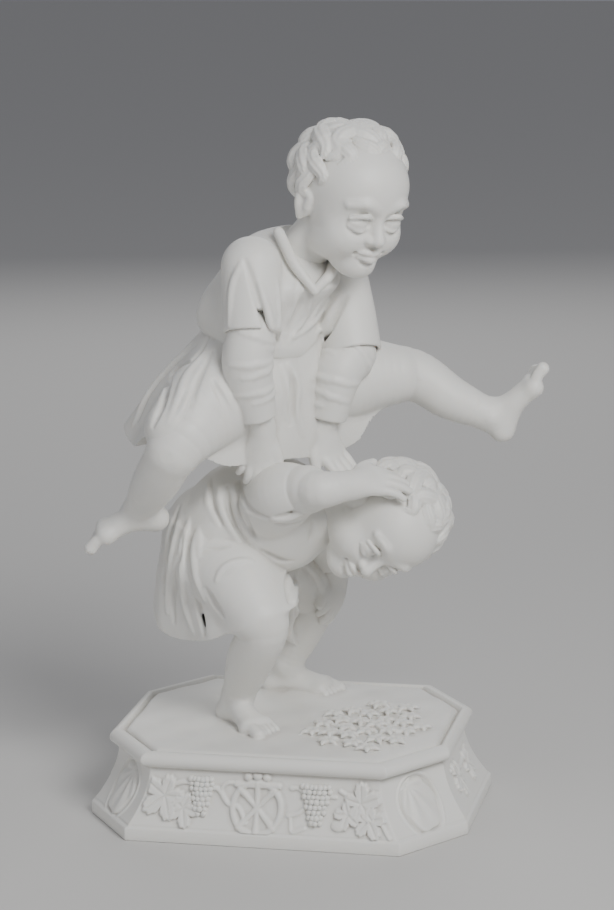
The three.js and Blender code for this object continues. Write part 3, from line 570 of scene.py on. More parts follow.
def largest_part(points, faces):
    """Drops every loose bit but the largest."""
    label = np.arange(len(points))
    a = faces.ravel()
    b = np.roll(faces, 1, axis=1).ravel()
    while True:
        low = np.minimum(label[a], label[b])
        new = label.copy()
        np.minimum.at(new, a, low)
        np.minimum.at(new, b, low)
        new = new[new]
        if (new == label).all():
            break
        label = new
    names, count = np.unique(label[faces[:, 0]], return_counts=True)
    keep = label[faces[:, 0]] == names[count.argmax()]
    faces = faces[keep]
    used = np.unique(faces)
    where = np.zeros(len(points), int)
    where[used] = np.arange(len(used))
    return points[used], where[faces]


def new_mesh(name, points, faces):
    mesh = bpy.data.meshes.new(name)
    faces = np.asarray(faces, np.int32)
    sides = faces.shape[1]
    mesh.vertices.add(len(points))
    mesh.vertices.foreach_set("co", (np.asarray(points, np.float64) * MM).astype(np.float32).ravel())
    mesh.loops.add(faces.size)
    mesh.loops.foreach_set("vertex_index", faces.ravel())
    mesh.polygons.add(len(faces))
    mesh.polygons.foreach_set("loop_start", np.arange(0, faces.size, sides, dtype=np.int32))
    mesh.update(calc_edges=True)
    mesh.validate()
    return mesh


def reduce(mesh, budget):
    """A copy of the mesh within a budget of triangles."""
    total = sum(len(p.vertices) - 2 for p in mesh.polygons) if len(mesh.polygons) < 5 else (
        len(mesh.loops) - 2 * len(mesh.polygons))
    if total <= budget:
        return mesh
    worker = bpy.data.objects.new("worker", mesh)
    bpy.context.scene.collection.objects.link(worker)
    modifier = worker.modifiers.new("reduce", "DECIMATE")
    modifier.ratio = budget / total
    graph = bpy.context.evaluated_depsgraph_get()
    small = bpy.data.meshes.new_from_object(worker.evaluated_get(graph))
    bpy.data.objects.remove(worker)
    bpy.data.meshes.remove(mesh)
    return small


def shade(mesh):
    """Smooth shading, and an attribute that says how far each point lies in a hollow, from which the material paints
    shade into the hollows.
    """
    mesh.polygons.foreach_set("use_smooth", np.ones(len(mesh.polygons), bool))
    count = len(mesh.vertices)
    co = np.empty(count * 3, np.float32)
    mesh.vertices.foreach_get("co", co)
    co = co.reshape(-1, 3).astype(np.float64)
    normal = np.empty(count * 3, np.float32)
    mesh.vertex_normals.foreach_get("vector", normal)
    normal = normal.reshape(-1, 3)
    edges = np.empty(len(mesh.edges) * 2, np.int32)
    mesh.edges.foreach_get("vertices", edges)
    a, b = edges.reshape(-1, 2).T
    degree = np.bincount(a, minlength=count) + np.bincount(b, minlength=count)

    def spread(values):
        total = np.bincount(a, values[b], count) + np.bincount(b, values[a], count)
        return total / np.maximum(degree, 1)

    mean = np.stack([spread(co[:, i]) for i in range(3)], 1)
    hollow = ((mean - co) * normal).sum(1) / MM
    for _ in range(6):
        hollow = 0.5 * hollow + 0.5 * spread(hollow)
    value = np.clip(hollow * 9.0, -1, 1)
    # The material reads this attribute to paint shade into the hollows.
    layer = mesh.attributes.new("hollow", "FLOAT", "POINT")
    layer.data.foreach_set("value", value.astype(np.float32))


def cast(name, clay, budget, material):
    """Turns clay into a finished object within a budget of triangles."""
    grid = openvdb.FloatGrid(FAR)
    grid.copyFromArray(clay.field, ijk=tuple(int(i) for i in clay.start))
    grid.transform = openvdb.createLinearTransform(voxelSize=clay.cell)
    points, triangles, quads = grid.convertToPolygons(isovalue=0.0, adaptivity=0.0)
    faces = np.vstack([quads[:, [0, 1, 2]], quads[:, [0, 2, 3]]]).astype(np.int64)
    if len(triangles):
        faces = np.vstack([faces, triangles.astype(np.int64)])
    points, faces = largest_part(np.asarray(points, float), faces)
    p = points[faces]
    if np.einsum("ij,ij->i", np.cross(p[:, 0], p[:, 1]), p[:, 2]).sum() < 0:
        faces = faces[:, ::-1]
    mesh = reduce(new_mesh(name, points, faces), budget)
    return finish_piece(name, mesh, material)


def finish_piece(name, mesh, material):
    shade(mesh)
    mesh.name = name
    mesh.materials.clear()
    mesh.materials.append(material)
    piece = bpy.data.objects.new(name, mesh)
    bpy.context.scene.collection.objects.link(piece)
    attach(piece, "root")
    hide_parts("leapfrog_group")
    return piece


# The ground the children play on

SLAB = dict(x=91.0, y=73.0, cut_x=26.0, cut_y=36.0)
PANEL_FOOT = dict(x=89.5, y=71.5, cut_x=26.0, cut_y=36.0)
NECK = dict(x=78.5, y=63.5, cut_x=24.0, cut_y=33.0)
RIM = dict(x=81.0, y=66.0, cut_x=24.0, cut_y=33.0)
LAWN = dict(x=75.5, y=60.5, cut_x=23.0, cut_y=31.5)
MOUNDS = ((-18, -12, 26, 1.6), (-6, 42, 20, 2.2), (46, -26, 24, 2.4), (40, 22, 22, 2.6), (-52, 10, 22, 2.0))


def ground_height(x, y):
    z = 41.0 + 0.35 * np.sin(x * 0.21 + 1.3) * np.cos(y * 0.19)
    for mx, my, reach, height in MOUNDS:
        z = z + height * np.exp(-((x - mx) ** 2 + (y - my) ** 2) / reach ** 2)
    return z


def lay_ground(clay):
    box, (x, y, z) = clay.window((-78, -63, 36), (78, 63, 50))
    ax, ay = np.abs(x), np.abs(y)
    n = unit((LAWN["cut_y"], LAWN["cut_x"]))
    corner = ax * n[0] + ay * n[1] - n[0] * (LAWN["x"] - LAWN["cut_x"]) - n[1] * LAWN["y"]
    edge = np.maximum(np.maximum(ax - LAWN["x"], ay - LAWN["y"]), corner)
    top = z - ground_height(x, y)
    clay.add((box, smooth_max(smooth_max(top, edge, 3.0), 37.5 - z, 0)), 0)


def grow_tufts(clay, seed=5):
    """Leafy tufts along the right of the lawn."""
    chance = np.random.RandomState(seed)
    for i in range(26):
        spin = 2.39996 * i
        far = math.sqrt((i + 0.5) / 26)
        x, y = 40 + 27 * far * math.cos(spin), -14 + 36 * far * math.sin(spin)
        if abs(x) * 0.81 + abs(y) * 0.59 > 74:
            continue
        z = float(ground_height(x, y)) - 0.6
        turn = chance.rand() * 6.28
        for blade in range(5):
            angle = turn + blade * 1.2566
            reach = 4.2 + 2.5 * chance.rand()
            way = vec(math.cos(angle), math.sin(angle), 0)
            base = vec(x, y, z)
            path = [base, base + way * reach * 0.5 + vec(0, 0, 1.9), base + way * reach + vec(0, 0, 0.9)]
            path, radii = with_radii(path, [1.0, 1.7, 0.5], 8)
            clay.add(clay.chain(path, radii, spare=2, flat=0.6, normal=vec(0, 0, 1)), 0.5)


# The children, in mm

LEAPER = dict(
    head=dict(centre=(32, -5, 294.5), face=(0.68, -0.67, -0.3), crown=(0.27, -0.14, 0.95), scale=1.04),
    near=dict(shoulder=(-11, -26, 264), hem=(-9, -36, 235), elbow=(-11, -38, 222), cuff=(-8, -32, 195),
              wrist=(-7.5, -27.5, 187.5), knuckles=(-9.5, -27, 172.5), tips=(-12.5, -27, 163.5),
              back=(0.1, -0.9, 0.35), thumb=-1, knee=(-42, -53, 183),
              calf=(-55, -42, 164), ankle=(-66, -29, 149), heel=(-59, -25, 143), ball=(-82, -32, 138),
              toe=(-90, -33.5, 132)),
    far=dict(shoulder=(20, 22, 252), hem=(29, 8, 218.5), elbow=(24, 1, 211), cuff=(18.4, -1, 189),
             wrist=(15.8, -1, 183), knuckles=(21, -1.5, 171), tips=(31, -3, 158.5),
             back=(0.5, -0.5, 0.7), thumb=1, knee=(52, 39, 203),
             calf=(70, 42, 192), ankle=(89, 46, 183), heel=(95, 47, 176), ball=(109, 48, 198),
             toe=(113, 49, 208)),
    trunk=[((-12, -1, 225.5), 26, 25.5, 11), ((-13, -1, 229.5), 28.5, 27.5, 10),
           ((-14, -1, 237), 29, 27.5, 8), ((-10, -1, 247), 29, 28, 6), ((-4, -1, 255), 28, 27.5, 10),
           ((2, -2, 264), 24, 24, 24), ((8, -4, 272), 12.5, 12.5, 38)],
    hem=[(-81, 6, 182), (-74, -12, 175), (-62, -36, 184), (-47, -56, 191), (-33, -50, 180), (-23, -36, 172),
         (-8, -26, 172), (8, -14, 172), (21, 4, 170), (32, 18, 176), (42, 27, 198), (50, 36, 214),
         (44, 50, 208), (16, 50, 186), (-20, 46, 180), (-56, 36, 180), (-76, 22, 182)],
)

BENDER = dict(
    head=dict(centre=(47.5, -5, 139.5), face=(0.1, -0.8, -0.6), crown=(0.9, -0.1, 0.42), scale=0.93),
    near=dict(shoulder=(-3, -22, 152), cuff=(14, -35, 162), elbow=(24, -43, 164), wrist=(38, -33, 165),
              knuckles=(47, -26, 166), tips=(60, -21, 161), knee=(-6, -36, 98), calf=(-15, -24, 76),
              ankle=(-25, -7, 54), heel=(-30, -7, 45), ball=(-12, -26, 44), toe=(-5, -33, 43)),
    far=dict(shoulder=(6, 32, 136), elbow=(12, 44, 108), wrist=(12, 42, 94), knuckles=(12, 39, 88),
             tips=(8, 36, 80), knee=(2, 42, 92), calf=(-5, 43, 73), ankle=(-13, 44, 55),
             heel=(-20, 45, 45), ball=(6, 43, 43.7), toe=(14, 42, 43)),
    trunk=[((-42, 4, 126), 28, 26, 0), ((-30, 4, 132), 31, 30, 0), ((-14, 4, 139), 30, 29, 0),
           ((0, 4, 143), 30, 27, 0), ((10, 4, 145), 25, 21, 0), ((22, 2, 144), 14, 13, 0)],
    hem=[(-68.5, 8, 92), (-65, -10, 88), (-56, -18, 84), (-42, -28, 85), (-28, -40, 90), (-16, -46, 97),
         (-4, -46, 103), (7, -38, 105), (8, -20, 104), (2, 0, 98), (-2, 20, 84), (-6, 34, 66),
         (0, 50, 78), (-4, 56, 92), (-24, 52, 88), (-48, 42, 86), (-66, 28, 90)],
)

# Fold lines in the front view: width and depth in mm, then points in pixels. A sunk fold has a negative depth.
LEAPER_TUNIC = [
    (1.6, 1.3, [(241, 263), (232, 285), (229, 324)]),
    (1.7, -1.6, [(245, 260), (255, 290), (265, 322), (270, 342)]),
    (1.6, 1.2, [(260, 285), (270, 317), (275, 344)]),
    (1.5, 1.2, [(277, 282), (279, 312), (278, 347)]),
    (1.6, 1.2, [(298, 280), (294, 302), (287, 322)]),
    (1.6, 1.3, [(312, 292), (304, 319), (290, 341)]),
    (1.5, 1.2, [(327, 300), (314, 322), (294, 337)]),
    (1.5, -1.4, [(306, 290), (299, 308), (289, 330)]),
    (1.4, -1.3, [(322, 300), (311, 318), (298, 334)]),
    (1.8, -1.8, [(347, 296), (337, 314), (324, 337), (304, 357)]),
    (1.6, 1.2, [(339, 296), (330, 314), (316, 334)]),
]
LEAPER_SKIRT = [
    (2.2, -2.6, [(209, 337), (196, 356), (172, 374), (166, 390), (161, 407), (153, 426)]),
    (2.0, 1.5, [(206, 351), (186, 376), (178, 398), (168, 424)]),
    (1.6, -1.3, [(212, 352), (198, 380), (190, 404), (184, 428)]),
    (1.5, 1.2, [(189, 394), (181, 412), (172, 424)]),
    (1.7, -1.5, [(196, 345), (172, 366), (150, 392), (138, 420)]),
    (1.6, 1.2, [(190, 345), (166, 370), (146, 396), (133, 424)]),
    (1.8, -2.2, [(213, 381), (223, 402), (230, 418), (237, 437)]),
    (1.6, 1.5, [(282, 367), (287, 390), (285, 418)]),
    (1.6, 1.5, [(288, 365), (298, 384), (296, 408), (303, 436)]),
    (1.6, -1.5, [(292, 372), (292, 396), (290, 424)]),
]
BENDER_SKIRT = [
    (2.6, -3.2, [(203.6, 489), (194, 524), (187.6, 547), (188.3, 565), (192, 583), (197, 602), (202, 622), (204, 634)]),
    (2.0, 1.6, [(199, 500), (189, 525), (182.5, 548), (182, 583), (185, 608), (193, 632)]),
    (1.8, -1.8, [(181.9, 536), (176.8, 566), (173, 598), (174, 622)]),
    (1.8, 1.5, [(178, 522), (172, 552), (168, 585), (167, 612)]),
    (1.7, -1.6, [(179.3, 506), (169.1, 534), (166, 554), (164.7, 577), (164, 593)]),
    (1.8, 1.5, [(201, 520), (194, 548), (196, 578), (204, 600)]),
    (2.0, -1.8, [(206, 590), (213, 602), (223, 616)]),
    (1.5, 1.6, [(216.3, 580), (221.4, 569.8), (231.6, 563.4), (243, 561), (252, 561)]),
    (1.5, -1.3, [(207.4, 518), (207, 528), (208.7, 538)]),
    (1.5, 1.2, [(203, 512), (200, 534), (199, 556)]),
    (1.5, -1.2, [(204.8, 545.6), (216, 547), (229, 545.6)]),
    (1.8, -1.8, [(303, 569), (312, 578), (316, 592), (320, 606)]),
    (1.7, 1.4, [(297, 567), (296, 588), (292, 610), (290, 636)]),
    (1.6, -1.3, [(290, 566), (287, 584), (288, 602)]),
    (1.6, 1.3, [(308, 566), (319, 582), (326, 600)]),
]
BENDER_BLOUSE = [
    (1.8, -2.2, [(226.5, 487), (227.8, 506), (232.9, 524), (249.5, 548)]),
    (1.7, 1.5, [(219, 484), (220, 505), (228, 524), (242, 545)]),
    (1.6, -1.5, [(211, 478), (211.5, 506), (221.4, 524)]),
    (1.6, 1.3, [(207, 484), (209, 504), (218, 524)]),
    (1.7, -1.7, [(244.4, 514), (249, 525), (254, 537)]),
    (1.6, 1.4, [(234, 486), (236, 508), (245, 528), (258, 545)]),
    (1.7, -1.6, [(240, 482), (244, 500), (252, 511), (268, 518)]),
    (1.5, -1.4, [(276.3, 517.5), (290.3, 515), (298, 511)]),
    (1.5, 1.2, [(272, 520), (288, 519), (304, 513)]),
    (1.5, -1.3, [(277.6, 524), (290.3, 526), (305, 520)]),
    (1.6, -1.8, [(262, 551), (272, 556.5), (283, 561), (292, 561)]),
    (1.5, -1.2, [(312, 522), (312, 531), (309, 540)]),
]


def cloth_waves(seed, count, depth, sharp=1.0):
    """Irregular folds around a garment, deepest on the side away from the front view."""
    chance = np.random.RandomState(seed)
    phase = chance.rand(3) * 6.28

    def folds(around, down, away):
        a = around * 2 * math.pi
        wave = np.cos(count * a + 1.3 * np.sin(2 * a + phase[0])) + 0.5 * np.cos((count + 5) * a + phase[1])
        hidden = 0.3 + 0.7 * smoothstep(-0.35, 0.45, away[:, 1])
        return depth * down ** 0.8 * wave * hidden

    return folds


def leaping_body(cell, fold):
    near, far = LEAPER["near"], LEAPER["far"]
    clay = Clay((-100, -66, 120), (124, 66, 292), cell)
    skin = clay.layer((-100, -66, 120), (124, 66, 245))
    limb(skin, [(-16, -6, 204), (-31, -32, 199), near["knee"], near["calf"], near["ankle"]],
         [24, 20, 12.4, 10.8, 7.0], k=0)
    skin.add(skin.ellipsoid(vec(*near["knee"]) + vec(-1, -1, -1), 12.2), 2)
    foot(skin, near["ankle"], near["heel"], near["ball"], near["toe"], (-0.4, -0.35, 0.8), -1, 7.0)
    limb(skin, [(-4, 8, 202), (20, 22, 202), far["knee"], far["calf"], far["ankle"]], [23, 19, 12.6, 10.6, 7.4], k=0)
    foot(skin, far["ankle"], far["heel"], far["ball"], far["toe"], (-0.75, -0.3, 0.5), 1, 7.4)
    for arm in (near, far):
        limb(skin, [vec(*arm["elbow"]) * 0.2 + vec(*arm["cuff"]) * 0.8, arm["wrist"]], [6.8, 6.2], k=0)
        hand(skin, arm["wrist"], arm["knuckles"], arm["tips"], arm["back"], arm["thumb"], 6.2)
    clay.merge(skin)

    cloth = clay.layer((-92, -66, 158), (64, 62, 240))
    waist = oval((-13, 0, 233), (-1, 0, 0), (0, -1, 0), 25, 25, 240)
    skirt(cloth, waist, LEAPER["hem"], 2.0, cloth_waves(3, 9, 1.5 * fold))
    thighs = [([(-16, -6, 206), (-31, -32, 201), (-43, -49, 192)], [24.5, 20.5, 14.0]),
              ([(-4, 8, 204), (20, 22, 204), (44, 33, 204)], [23.5, 19.5, 14.0])]
    for path, radii in thighs:
        path, radii = with_radii(path, radii, 13)
        cloth.add(cloth.chain(path, radii, spare=5), 4.0)
    for width, depth, line in LEAPER_SKIRT:
        cloth.stroke(line, width, depth * fold)
    clay.merge(cloth, 0.5)

    under = clay.layer((-32, -60, 180), (50, 52, 250))
    for arm, radii, seed in ((near, (11, 11.6, 9.2), 11), (far, (11.5, 11.3, 9.2), 12)):
        path = [arm["hem"], arm["elbow"], arm["cuff"]]
        sleeve(under, path, radii, wall=1.6, depth=4.5, k=0.5)
        wrinkles(under, path, radii, 7, seed, girth=1.5, depth=0.9 * fold)
    clay.merge(under, 0.4)

    tunic = clay.layer((-52, -60, 208), (52, 56, 292))
    forward = unit(vec(0.84, -0.54, 0))

    def pleats(angle, up):
        hidden = 0.35 + 0.65 * smoothstep(-0.2, 0.6, -np.cos(angle - 0.3))
        return 0.035 * fold * (1 - up) * np.cos(9 * angle + 1.2 * np.sin(angle * 2)) * hidden

    trunk(tunic, LEAPER["trunk"], forward, vec(-forward[1], forward[0], 0), pleats)
    for arm, radii in ((near, (14, 13.5, 13.2)), (far, (14, 14.5, 14.2))):
        a, b = vec(*arm["shoulder"]), vec(*arm["hem"])
        sleeve(tunic, [a, (a + b) / 2, b], radii, wall=1.7, depth=9, k=2.5)
    for width, depth, line in LEAPER_TUNIC:
        tunic.stroke(line, width, depth * fold)
    clay.merge(tunic, 0.4)
    for line in ([(-1, -12, 278), (8, -21, 265), (18, -23, 253)], [(20, 8, 268), (23, -8, 260), (18, -23, 253)]):
        path, radii = with_radii(line, [2.6, 2.6, 2.0], 14)
        clay.add(clay.chain(path, radii), 0.6)
    return clay


def head_clay(child, cell):
    spec = child["head"]
    place = Place(spec["centre"], spec["face"], spec["crown"], spec["scale"])
    centre = place.centre
    clay = Clay(centre - 42, centre + 42, cell)
    return clay, place


HAIR_ROWS = [
    (8, 44, 9, 4.4, 0),
    (30, 68, 13, 4.3, 34),
    (54, 92, 15, 4.1, 52),
    (78, 114, 14, 3.9, 66),
]
LEAPER_FRINGE = [
    ((14, 20), (62, 4), 4.2, 7), ((16, 60), (64, 34), 4.4, -8), ((18, 100), (72, 66), 4.4, 8),
    ((14, -20), (60, -24), 4.2, -7), ((16, -60), (66, -52), 4.4, 8), ((24, -96), (78, -74), 4.2, -8),
    ((40, 8), (70, 18), 3.4, 9), ((40, -8), (68, -10), 3.4, -9), ((44, 34), (76, 46), 3.6, 8),
    ((44, -34), (74, -38), 3.6, -8),
]
BENDER_FRINGE = [
    ((12, 10), (60, -2), 4.3, 8), ((14, 46), (66, 30), 4.4, -8), ((16, 88), (74, 60), 4.4, 8),
    ((12, -28), (62, -26), 4.3, -8), ((16, -66), (68, -56), 4.4, 8), ((22, -100), (80, -82), 4.2, -8),
    ((38, 14), (70, 12), 3.5, 9), ((38, -12), (70, -14), 3.5, -9), ((42, 42), (76, 44), 3.6, 8),
    ((42, -42), (76, -42), 3.6, -8),
]


def leaping_head(cell):
    clay, place = head_clay(LEAPER, cell)
    face(clay, place)
    limb(clay, [(4, -2, 264), (14, -3, 275), vec(32, -5, 294.5) + place.axes[1] * -4], [12, 11.3, 12], k=4)
    hair(clay, place, HAIR_ROWS, 7, LEAPER_FRINGE)
    return clay


def bending_head(cell):
    clay, place = head_clay(BENDER, cell)
    face(clay, place)
    limb(clay, [(13, 1, 147), (23, 0, 145), vec(47.5, -5, 139.5) + place.axes[1] * -4], [14, 13, 12.5], k=4)
    hair(clay, place, HAIR_ROWS, 19, BENDER_FRINGE)
    return clay


def bending_body(cell, fold):
    near, far = BENDER["near"], BENDER["far"]
    clay = Clay((-80, -64, 34), (80, 66, 182), cell)
    lay_ground(clay)
    grow_tufts(clay)
    skin = clay.layer((-50, -60, 34), (76, 64, 178))
    limb(skin, [(-34, -10, 118), (-20, -24, 112), near["knee"], near["calf"], near["ankle"]],
         [22, 18, 12.4, 11.2, 7.4], k=0)
    limb(skin, [(-30, 18, 116), (-14, 32, 104), far["knee"], far["calf"], far["ankle"]],
         [21, 17, 12, 11, 7.4], k=0)
    foot(skin, near["ankle"], near["heel"], near["ball"], near["toe"], (0, 0, 1), 1, 7.4)
    foot(skin, far["ankle"], far["heel"], far["ball"], far["toe"], (0, 0, 1), -1, 7.4)
    limb(skin, [near["cuff"], near["elbow"], near["wrist"]], [9, 8.6, 6.2], k=0)
    hand(skin, near["wrist"], near["knuckles"], near["tips"], (0.1, -0.75, 0.65), -1, 6.2)
    limb(skin, [vec(*far["elbow"]) * 0.8 + vec(*far["wrist"]) * 0.2, far["wrist"]], [8, 6.2], k=0)
    hand(skin, far["wrist"], far["knuckles"], far["tips"], (0.8, 0.1, 0.6), 1, 6.2)
    clay.merge(skin, 0.8)

    cloth = clay.layer((-80, -60, 54), (24, 66, 166))
    waist = oval((-34, 4, 134), unit(vec(-1, 0, 0.25)), (0, -1, 0), 26, 29, 240)
    skirt(cloth, waist, BENDER["hem"], 1.5, cloth_waves(8, 9, 1.6 * fold))
    cloth.add(cloth.ellipsoid((-38, 4, 127), (25, 28, 28)), 3)
    for path, radii in (([(-34, -10, 119), (-20, -25, 113), (-8, -36, 101)], [22.5, 18.5, 14.0]),
                        ([(-30, 18, 117), (-14, 32, 105), (0, 42, 94)], [21.5, 17.5, 14.0])):
        path, radii = with_radii(path, radii, 13)
        cloth.add(cloth.chain(path, radii, spare=5), 4.0)
    for width, depth, line in BENDER_SKIRT:
        cloth.stroke(line, width, depth * fold)
    clay.merge(cloth, 0.5)

    blouse = clay.layer((-76, -60, 84), (40, 66, 184))

    def pleats(angle, up):
        hidden = 0.35 + 0.65 * smoothstep(-0.2, 0.6, np.sin(angle))
        return 0.03 * fold * (1 - up) * np.cos(11 * angle + np.sin(angle * 2)) * hidden

    trunk(blouse, BENDER["trunk"], unit(vec(0.3, 0, -0.95)), vec(0, 1, 0), pleats)
    sleeve(blouse, [near["shoulder"], (4, -29, 158), near["cuff"]], (16, 15, 10.5), wall=1.7, depth=5, k=3)
    far_path = [far["shoulder"], (9, 39, 122), far["elbow"]]
    sleeve(blouse, far_path, (15, 12.5, 10.5), wall=1.7, depth=5, k=3)
    wrinkles(blouse, far_path, (15, 12.5, 10.5), 5, 21, girth=1.6, depth=0.9 * fold)
    for width, depth, line in BENDER_BLOUSE:
        blouse.stroke(line, width, depth * fold)
    roll = [vec(14, -35, 162) - vec(1.5, -1.2, 0.4), vec(16.5, -36.5, 162.5)]
    blouse.add(blouse.chain(roll, [11.2, 11.2]), 0.5)
    clay.merge(blouse, 0.4)
    return clay


# The plinth's body: rows of points around the octagon, with the relief standing out of the panels


def between(low, high, t):
    return {k: low[k] + (high[k] - low[k]) * t for k in low}


def grown(outline, by):
    grow = dict(outline)
    grow["x"] += by
    grow["y"] += by
    return grow


def corners(o):
    x, y, cx, cy = o["x"], o["y"], o["cut_x"], o["cut_y"]
    return [vec(cx - x, -y), vec(x - cx, -y), vec(x, cy - y), vec(x, y - cy),
            vec(x - cx, y), vec(cx - x, y), vec(-x, y - cy), vec(-x, cy - y)]


PANEL_COLUMNS = (300, 96, 180, 96, 300, 96, 180, 96)


def sweep(z):
    return (1 - np.clip((z - 7.4) / (33 - 7.4), 0, 1)) ** 1.75


def ring_row(outline, z, relief=None):
    """One row of points around the octagon at one height."""
    points = []
    c = corners(outline)
    for n in range(8):
        a, b = c[n], c[(n + 1) % 8]
        along = unit(b - a)
        out = vec(along[1], -along[0])
        w = np.arange(PANEL_COLUMNS[n]) / PANEL_COLUMNS[n]
        half = np.linalg.norm(b - a) / 2
        s = (2 * w - 1) * half
        row = a + (b - a) * w[:, None]
        if relief is not None:
            h = relief(n, s, z) * smoothstep(0, 2.0, half - np.abs(s))
            row = row + out * h[:, None]
        points.append(np.c_[row, np.full(len(row), z)])
    return np.vstack(points)


def line_distance(s, z, points, count=40):
    """Distance from points of a panel to a curve, and how far along the curve the nearest place is."""
    path = curve(np.c_[np.asarray(points, float), np.zeros(len(points))], count)[:, :2]
    best = np.full(np.shape(s), 99.0)
    where = np.zeros(np.shape(s))
    for i in range(count - 1):
        a, d = path[i], path[i + 1] - path[i]
        h = np.clip(((s - a[0]) * d[0] + (z - a[1]) * d[1]) / (d @ d), 0, 1)
        gap = np.hypot(s - a[0] - d[0] * h, z - a[1] - d[1] * h)
        closer = gap < best
        best = np.where(closer, gap, best)
        where = np.where(closer, (i + h) / (count - 1), where)
    return best, where


def round_bar(gap, radius):
    return np.sqrt(np.maximum(radius ** 2 - gap ** 2, 0))


def leaf_relief(s, z, place, size, heading, lift):
    """A five-lobed vine leaf with a raised rim to each lobe and sunk veins."""
    x, y = s - place[0], z - place[1]
    r = np.hypot(x, y)
    a = np.arctan2(y, x) - math.radians(heading)
    lobe = np.abs(np.cos(2.5 * a))
    tooth = 0.035 * np.cos(25 * a)
    edge = size * (0.5 + 0.5 * lobe ** 0.75 + tooth) * (1 + 0.14 * np.cos(a))
    inside = np.clip((edge - r) / (0.16 * size), 0, 1)
    height = lift * (inside * (2 - inside)) * (0.72 + 0.28 * np.clip(r / edge, 0, 1) ** 2)
    vein = np.full(np.shape(r), 9.0)
    for k in range(5):
        b = 2 * math.pi * k / 5
        turned = np.abs(np.sin(a - b)) * r
        forward = np.cos(a - b) * r
        vein = np.minimum(vein, np.where(forward > 0, turned, 9.0))
    height = height - 0.55 * np.exp(-(vein / 0.45) ** 2) * inside * (r < edge)
    return np.maximum(height, 0)


FRONT_LEAVES = (((-47, 21), 11, 215), ((-38, 16), 8, 280), ((46, 22), 9.5, 20), ((50, 15), 8, 300), ((40, 17), 6.5, 250))
BACK_LEAVES = (((-44, 20), 11, 215), ((44, 20), 11, 325))
BUNCHES = {0: ((-29.5, 21.5, 11.5, 18.0), (25.0, 20.5, 14.0, 18.5)), 4: ((-22.0, 20.5, 12.5, 18.0), (22.0, 20.5, 12.5, 18.0))}
FRONT_STEMS = (
    ([(-44, 26), (-36, 27.5), (-29, 25), (-22, 25), (-17, 19), (-12, 17.5), (-8, 11)], 1.15),
    ([(-17, 19), (-20, 25), (-17, 28), (-13, 28)], 0.9),
    ([(13, 27), (17, 27), (21, 22), (17, 16.5), (12, 15)], 1.0),
    ([(21, 22), (25, 24.5), (34, 24)], 0.9),
    ([(13, 14), (14, 8.5), (20, 10)], 0.9),
    ([(36, 27), (45, 22), (53, 17), (60, 8)], 1.0),
)
BACK_STEMS = (([(-40, 25), (-28, 26), (-12, 21), (0, 24), (12, 21), (28, 26), (40, 25)], 1.2),)


def badge_relief(s, z):
    """The round badge: a ring with a leafy cross in it, a bar above it and three lobes on the bar."""
    x, y = s + 3.0, z - 17.5
    r = np.hypot(x, y)
    h = round_bar(r - 11.4, 1.5)
    for p in ([(-8, 8), (8, -8)], [(-8, -8), (8, 8)], [(0, -11), (0, 11)]):
        gap, t = line_distance(x, y, p, 8)
        swell = 1.15 + 0.75 * np.abs(2 * t - 1) ** 3
        h = np.maximum(h, round_bar(gap, swell))
    gap, _ = line_distance(x, y, [(-10, 10.2), (10, 10.2)], 4)
    h = np.maximum(h, round_bar(gap, 1.5))
    for px, pz, pr in ((-4.4, 14.0, 2.1), (0.0, 14.6, 2.4), (4.4, 14.0, 2.1)):
        h = np.maximum(h, round_bar(np.hypot(x - px, y - pz), pr) * 0.85)
    return h


def shell_relief(s, z, lean):
    """A ribbed shell in an oval recess."""
    x, y = s, z - 18.0
    r = np.hypot(x / 10.6, y / 11.6)
    recess = -0.9 * smoothstep(1.16, 1.06, r)
    border = 0.7 * np.exp(-((r - 1.2) / 0.05) ** 2)
    ax, ay = x - lean * 4.5, y - 9.5
    fan = np.arctan2(ax, -ay)
    reach = np.hypot(ax, ay)
    scallop = 1 + 0.05 * np.cos(fan * 11)
    inside = np.clip((scallop - r) / 0.12, 0, 1)
    rib = 0.5 + 0.5 * np.cos(fan * 11)
    body = (2.4 + 0.9 * rib * smoothstep(1.5, 6.0, reach)) * inside * (2 - inside)
    return recess + border + np.where(inside > 0, body * (1.05 - 0.55 * r ** 2), 0)


def panel_relief(lift):
    def relief(panel, s, z):
        s = np.asarray(s, float)
        z = np.full(s.shape, float(z))
        h = np.zeros(s.shape)
        if panel in (0, 4):
            for place, size, heading in (FRONT_LEAVES if panel == 0 else BACK_LEAVES):
                h = np.maximum(h, leaf_relief(s, z, place, size, heading, 2.0))
            for line, radius in (FRONT_STEMS if panel == 0 else BACK_STEMS):
                gap, _ = line_distance(s, z, line)
                h = np.maximum(h, round_bar(gap, radius))
            for bs, bz, wide, high in BUNCHES[panel]:
                fall = np.clip((bz + high / 2 - z) / high, 0, 1)
                half = wide / 2 * (1 - 0.55 * fall ** 1.5)
                r = np.hypot((s - bs) / np.maximum(half, 0.1), (z - bz) / (high / 2))
                h = np.maximum(h, 1.5 * smoothstep(1.0, 0.5, r))
        if panel == 0:
            h = np.maximum(h, badge_relief(s, z))
            h = np.maximum(h, round_bar(np.hypot((s - 36) / 1.45, z - 12), 2.6) * 0.7)
        if panel % 2:
            h = shell_relief(s, z, -1 if panel in (1, 5) else 1)
        if panel in (2, 6):
            h = np.maximum(h, leaf_relief(s, z, (-12, 20), 8.5, 200, 2.0))
            h = np.maximum(h, leaf_relief(s, z, (12, 19), 7.5, 330, 2.0))
            gap, _ = line_distance(s, z, [(-20, 25), (0, 21.5), (20, 25)])
            h = np.maximum(h, round_bar(gap, 1.1))
        return h * lift

    return relief


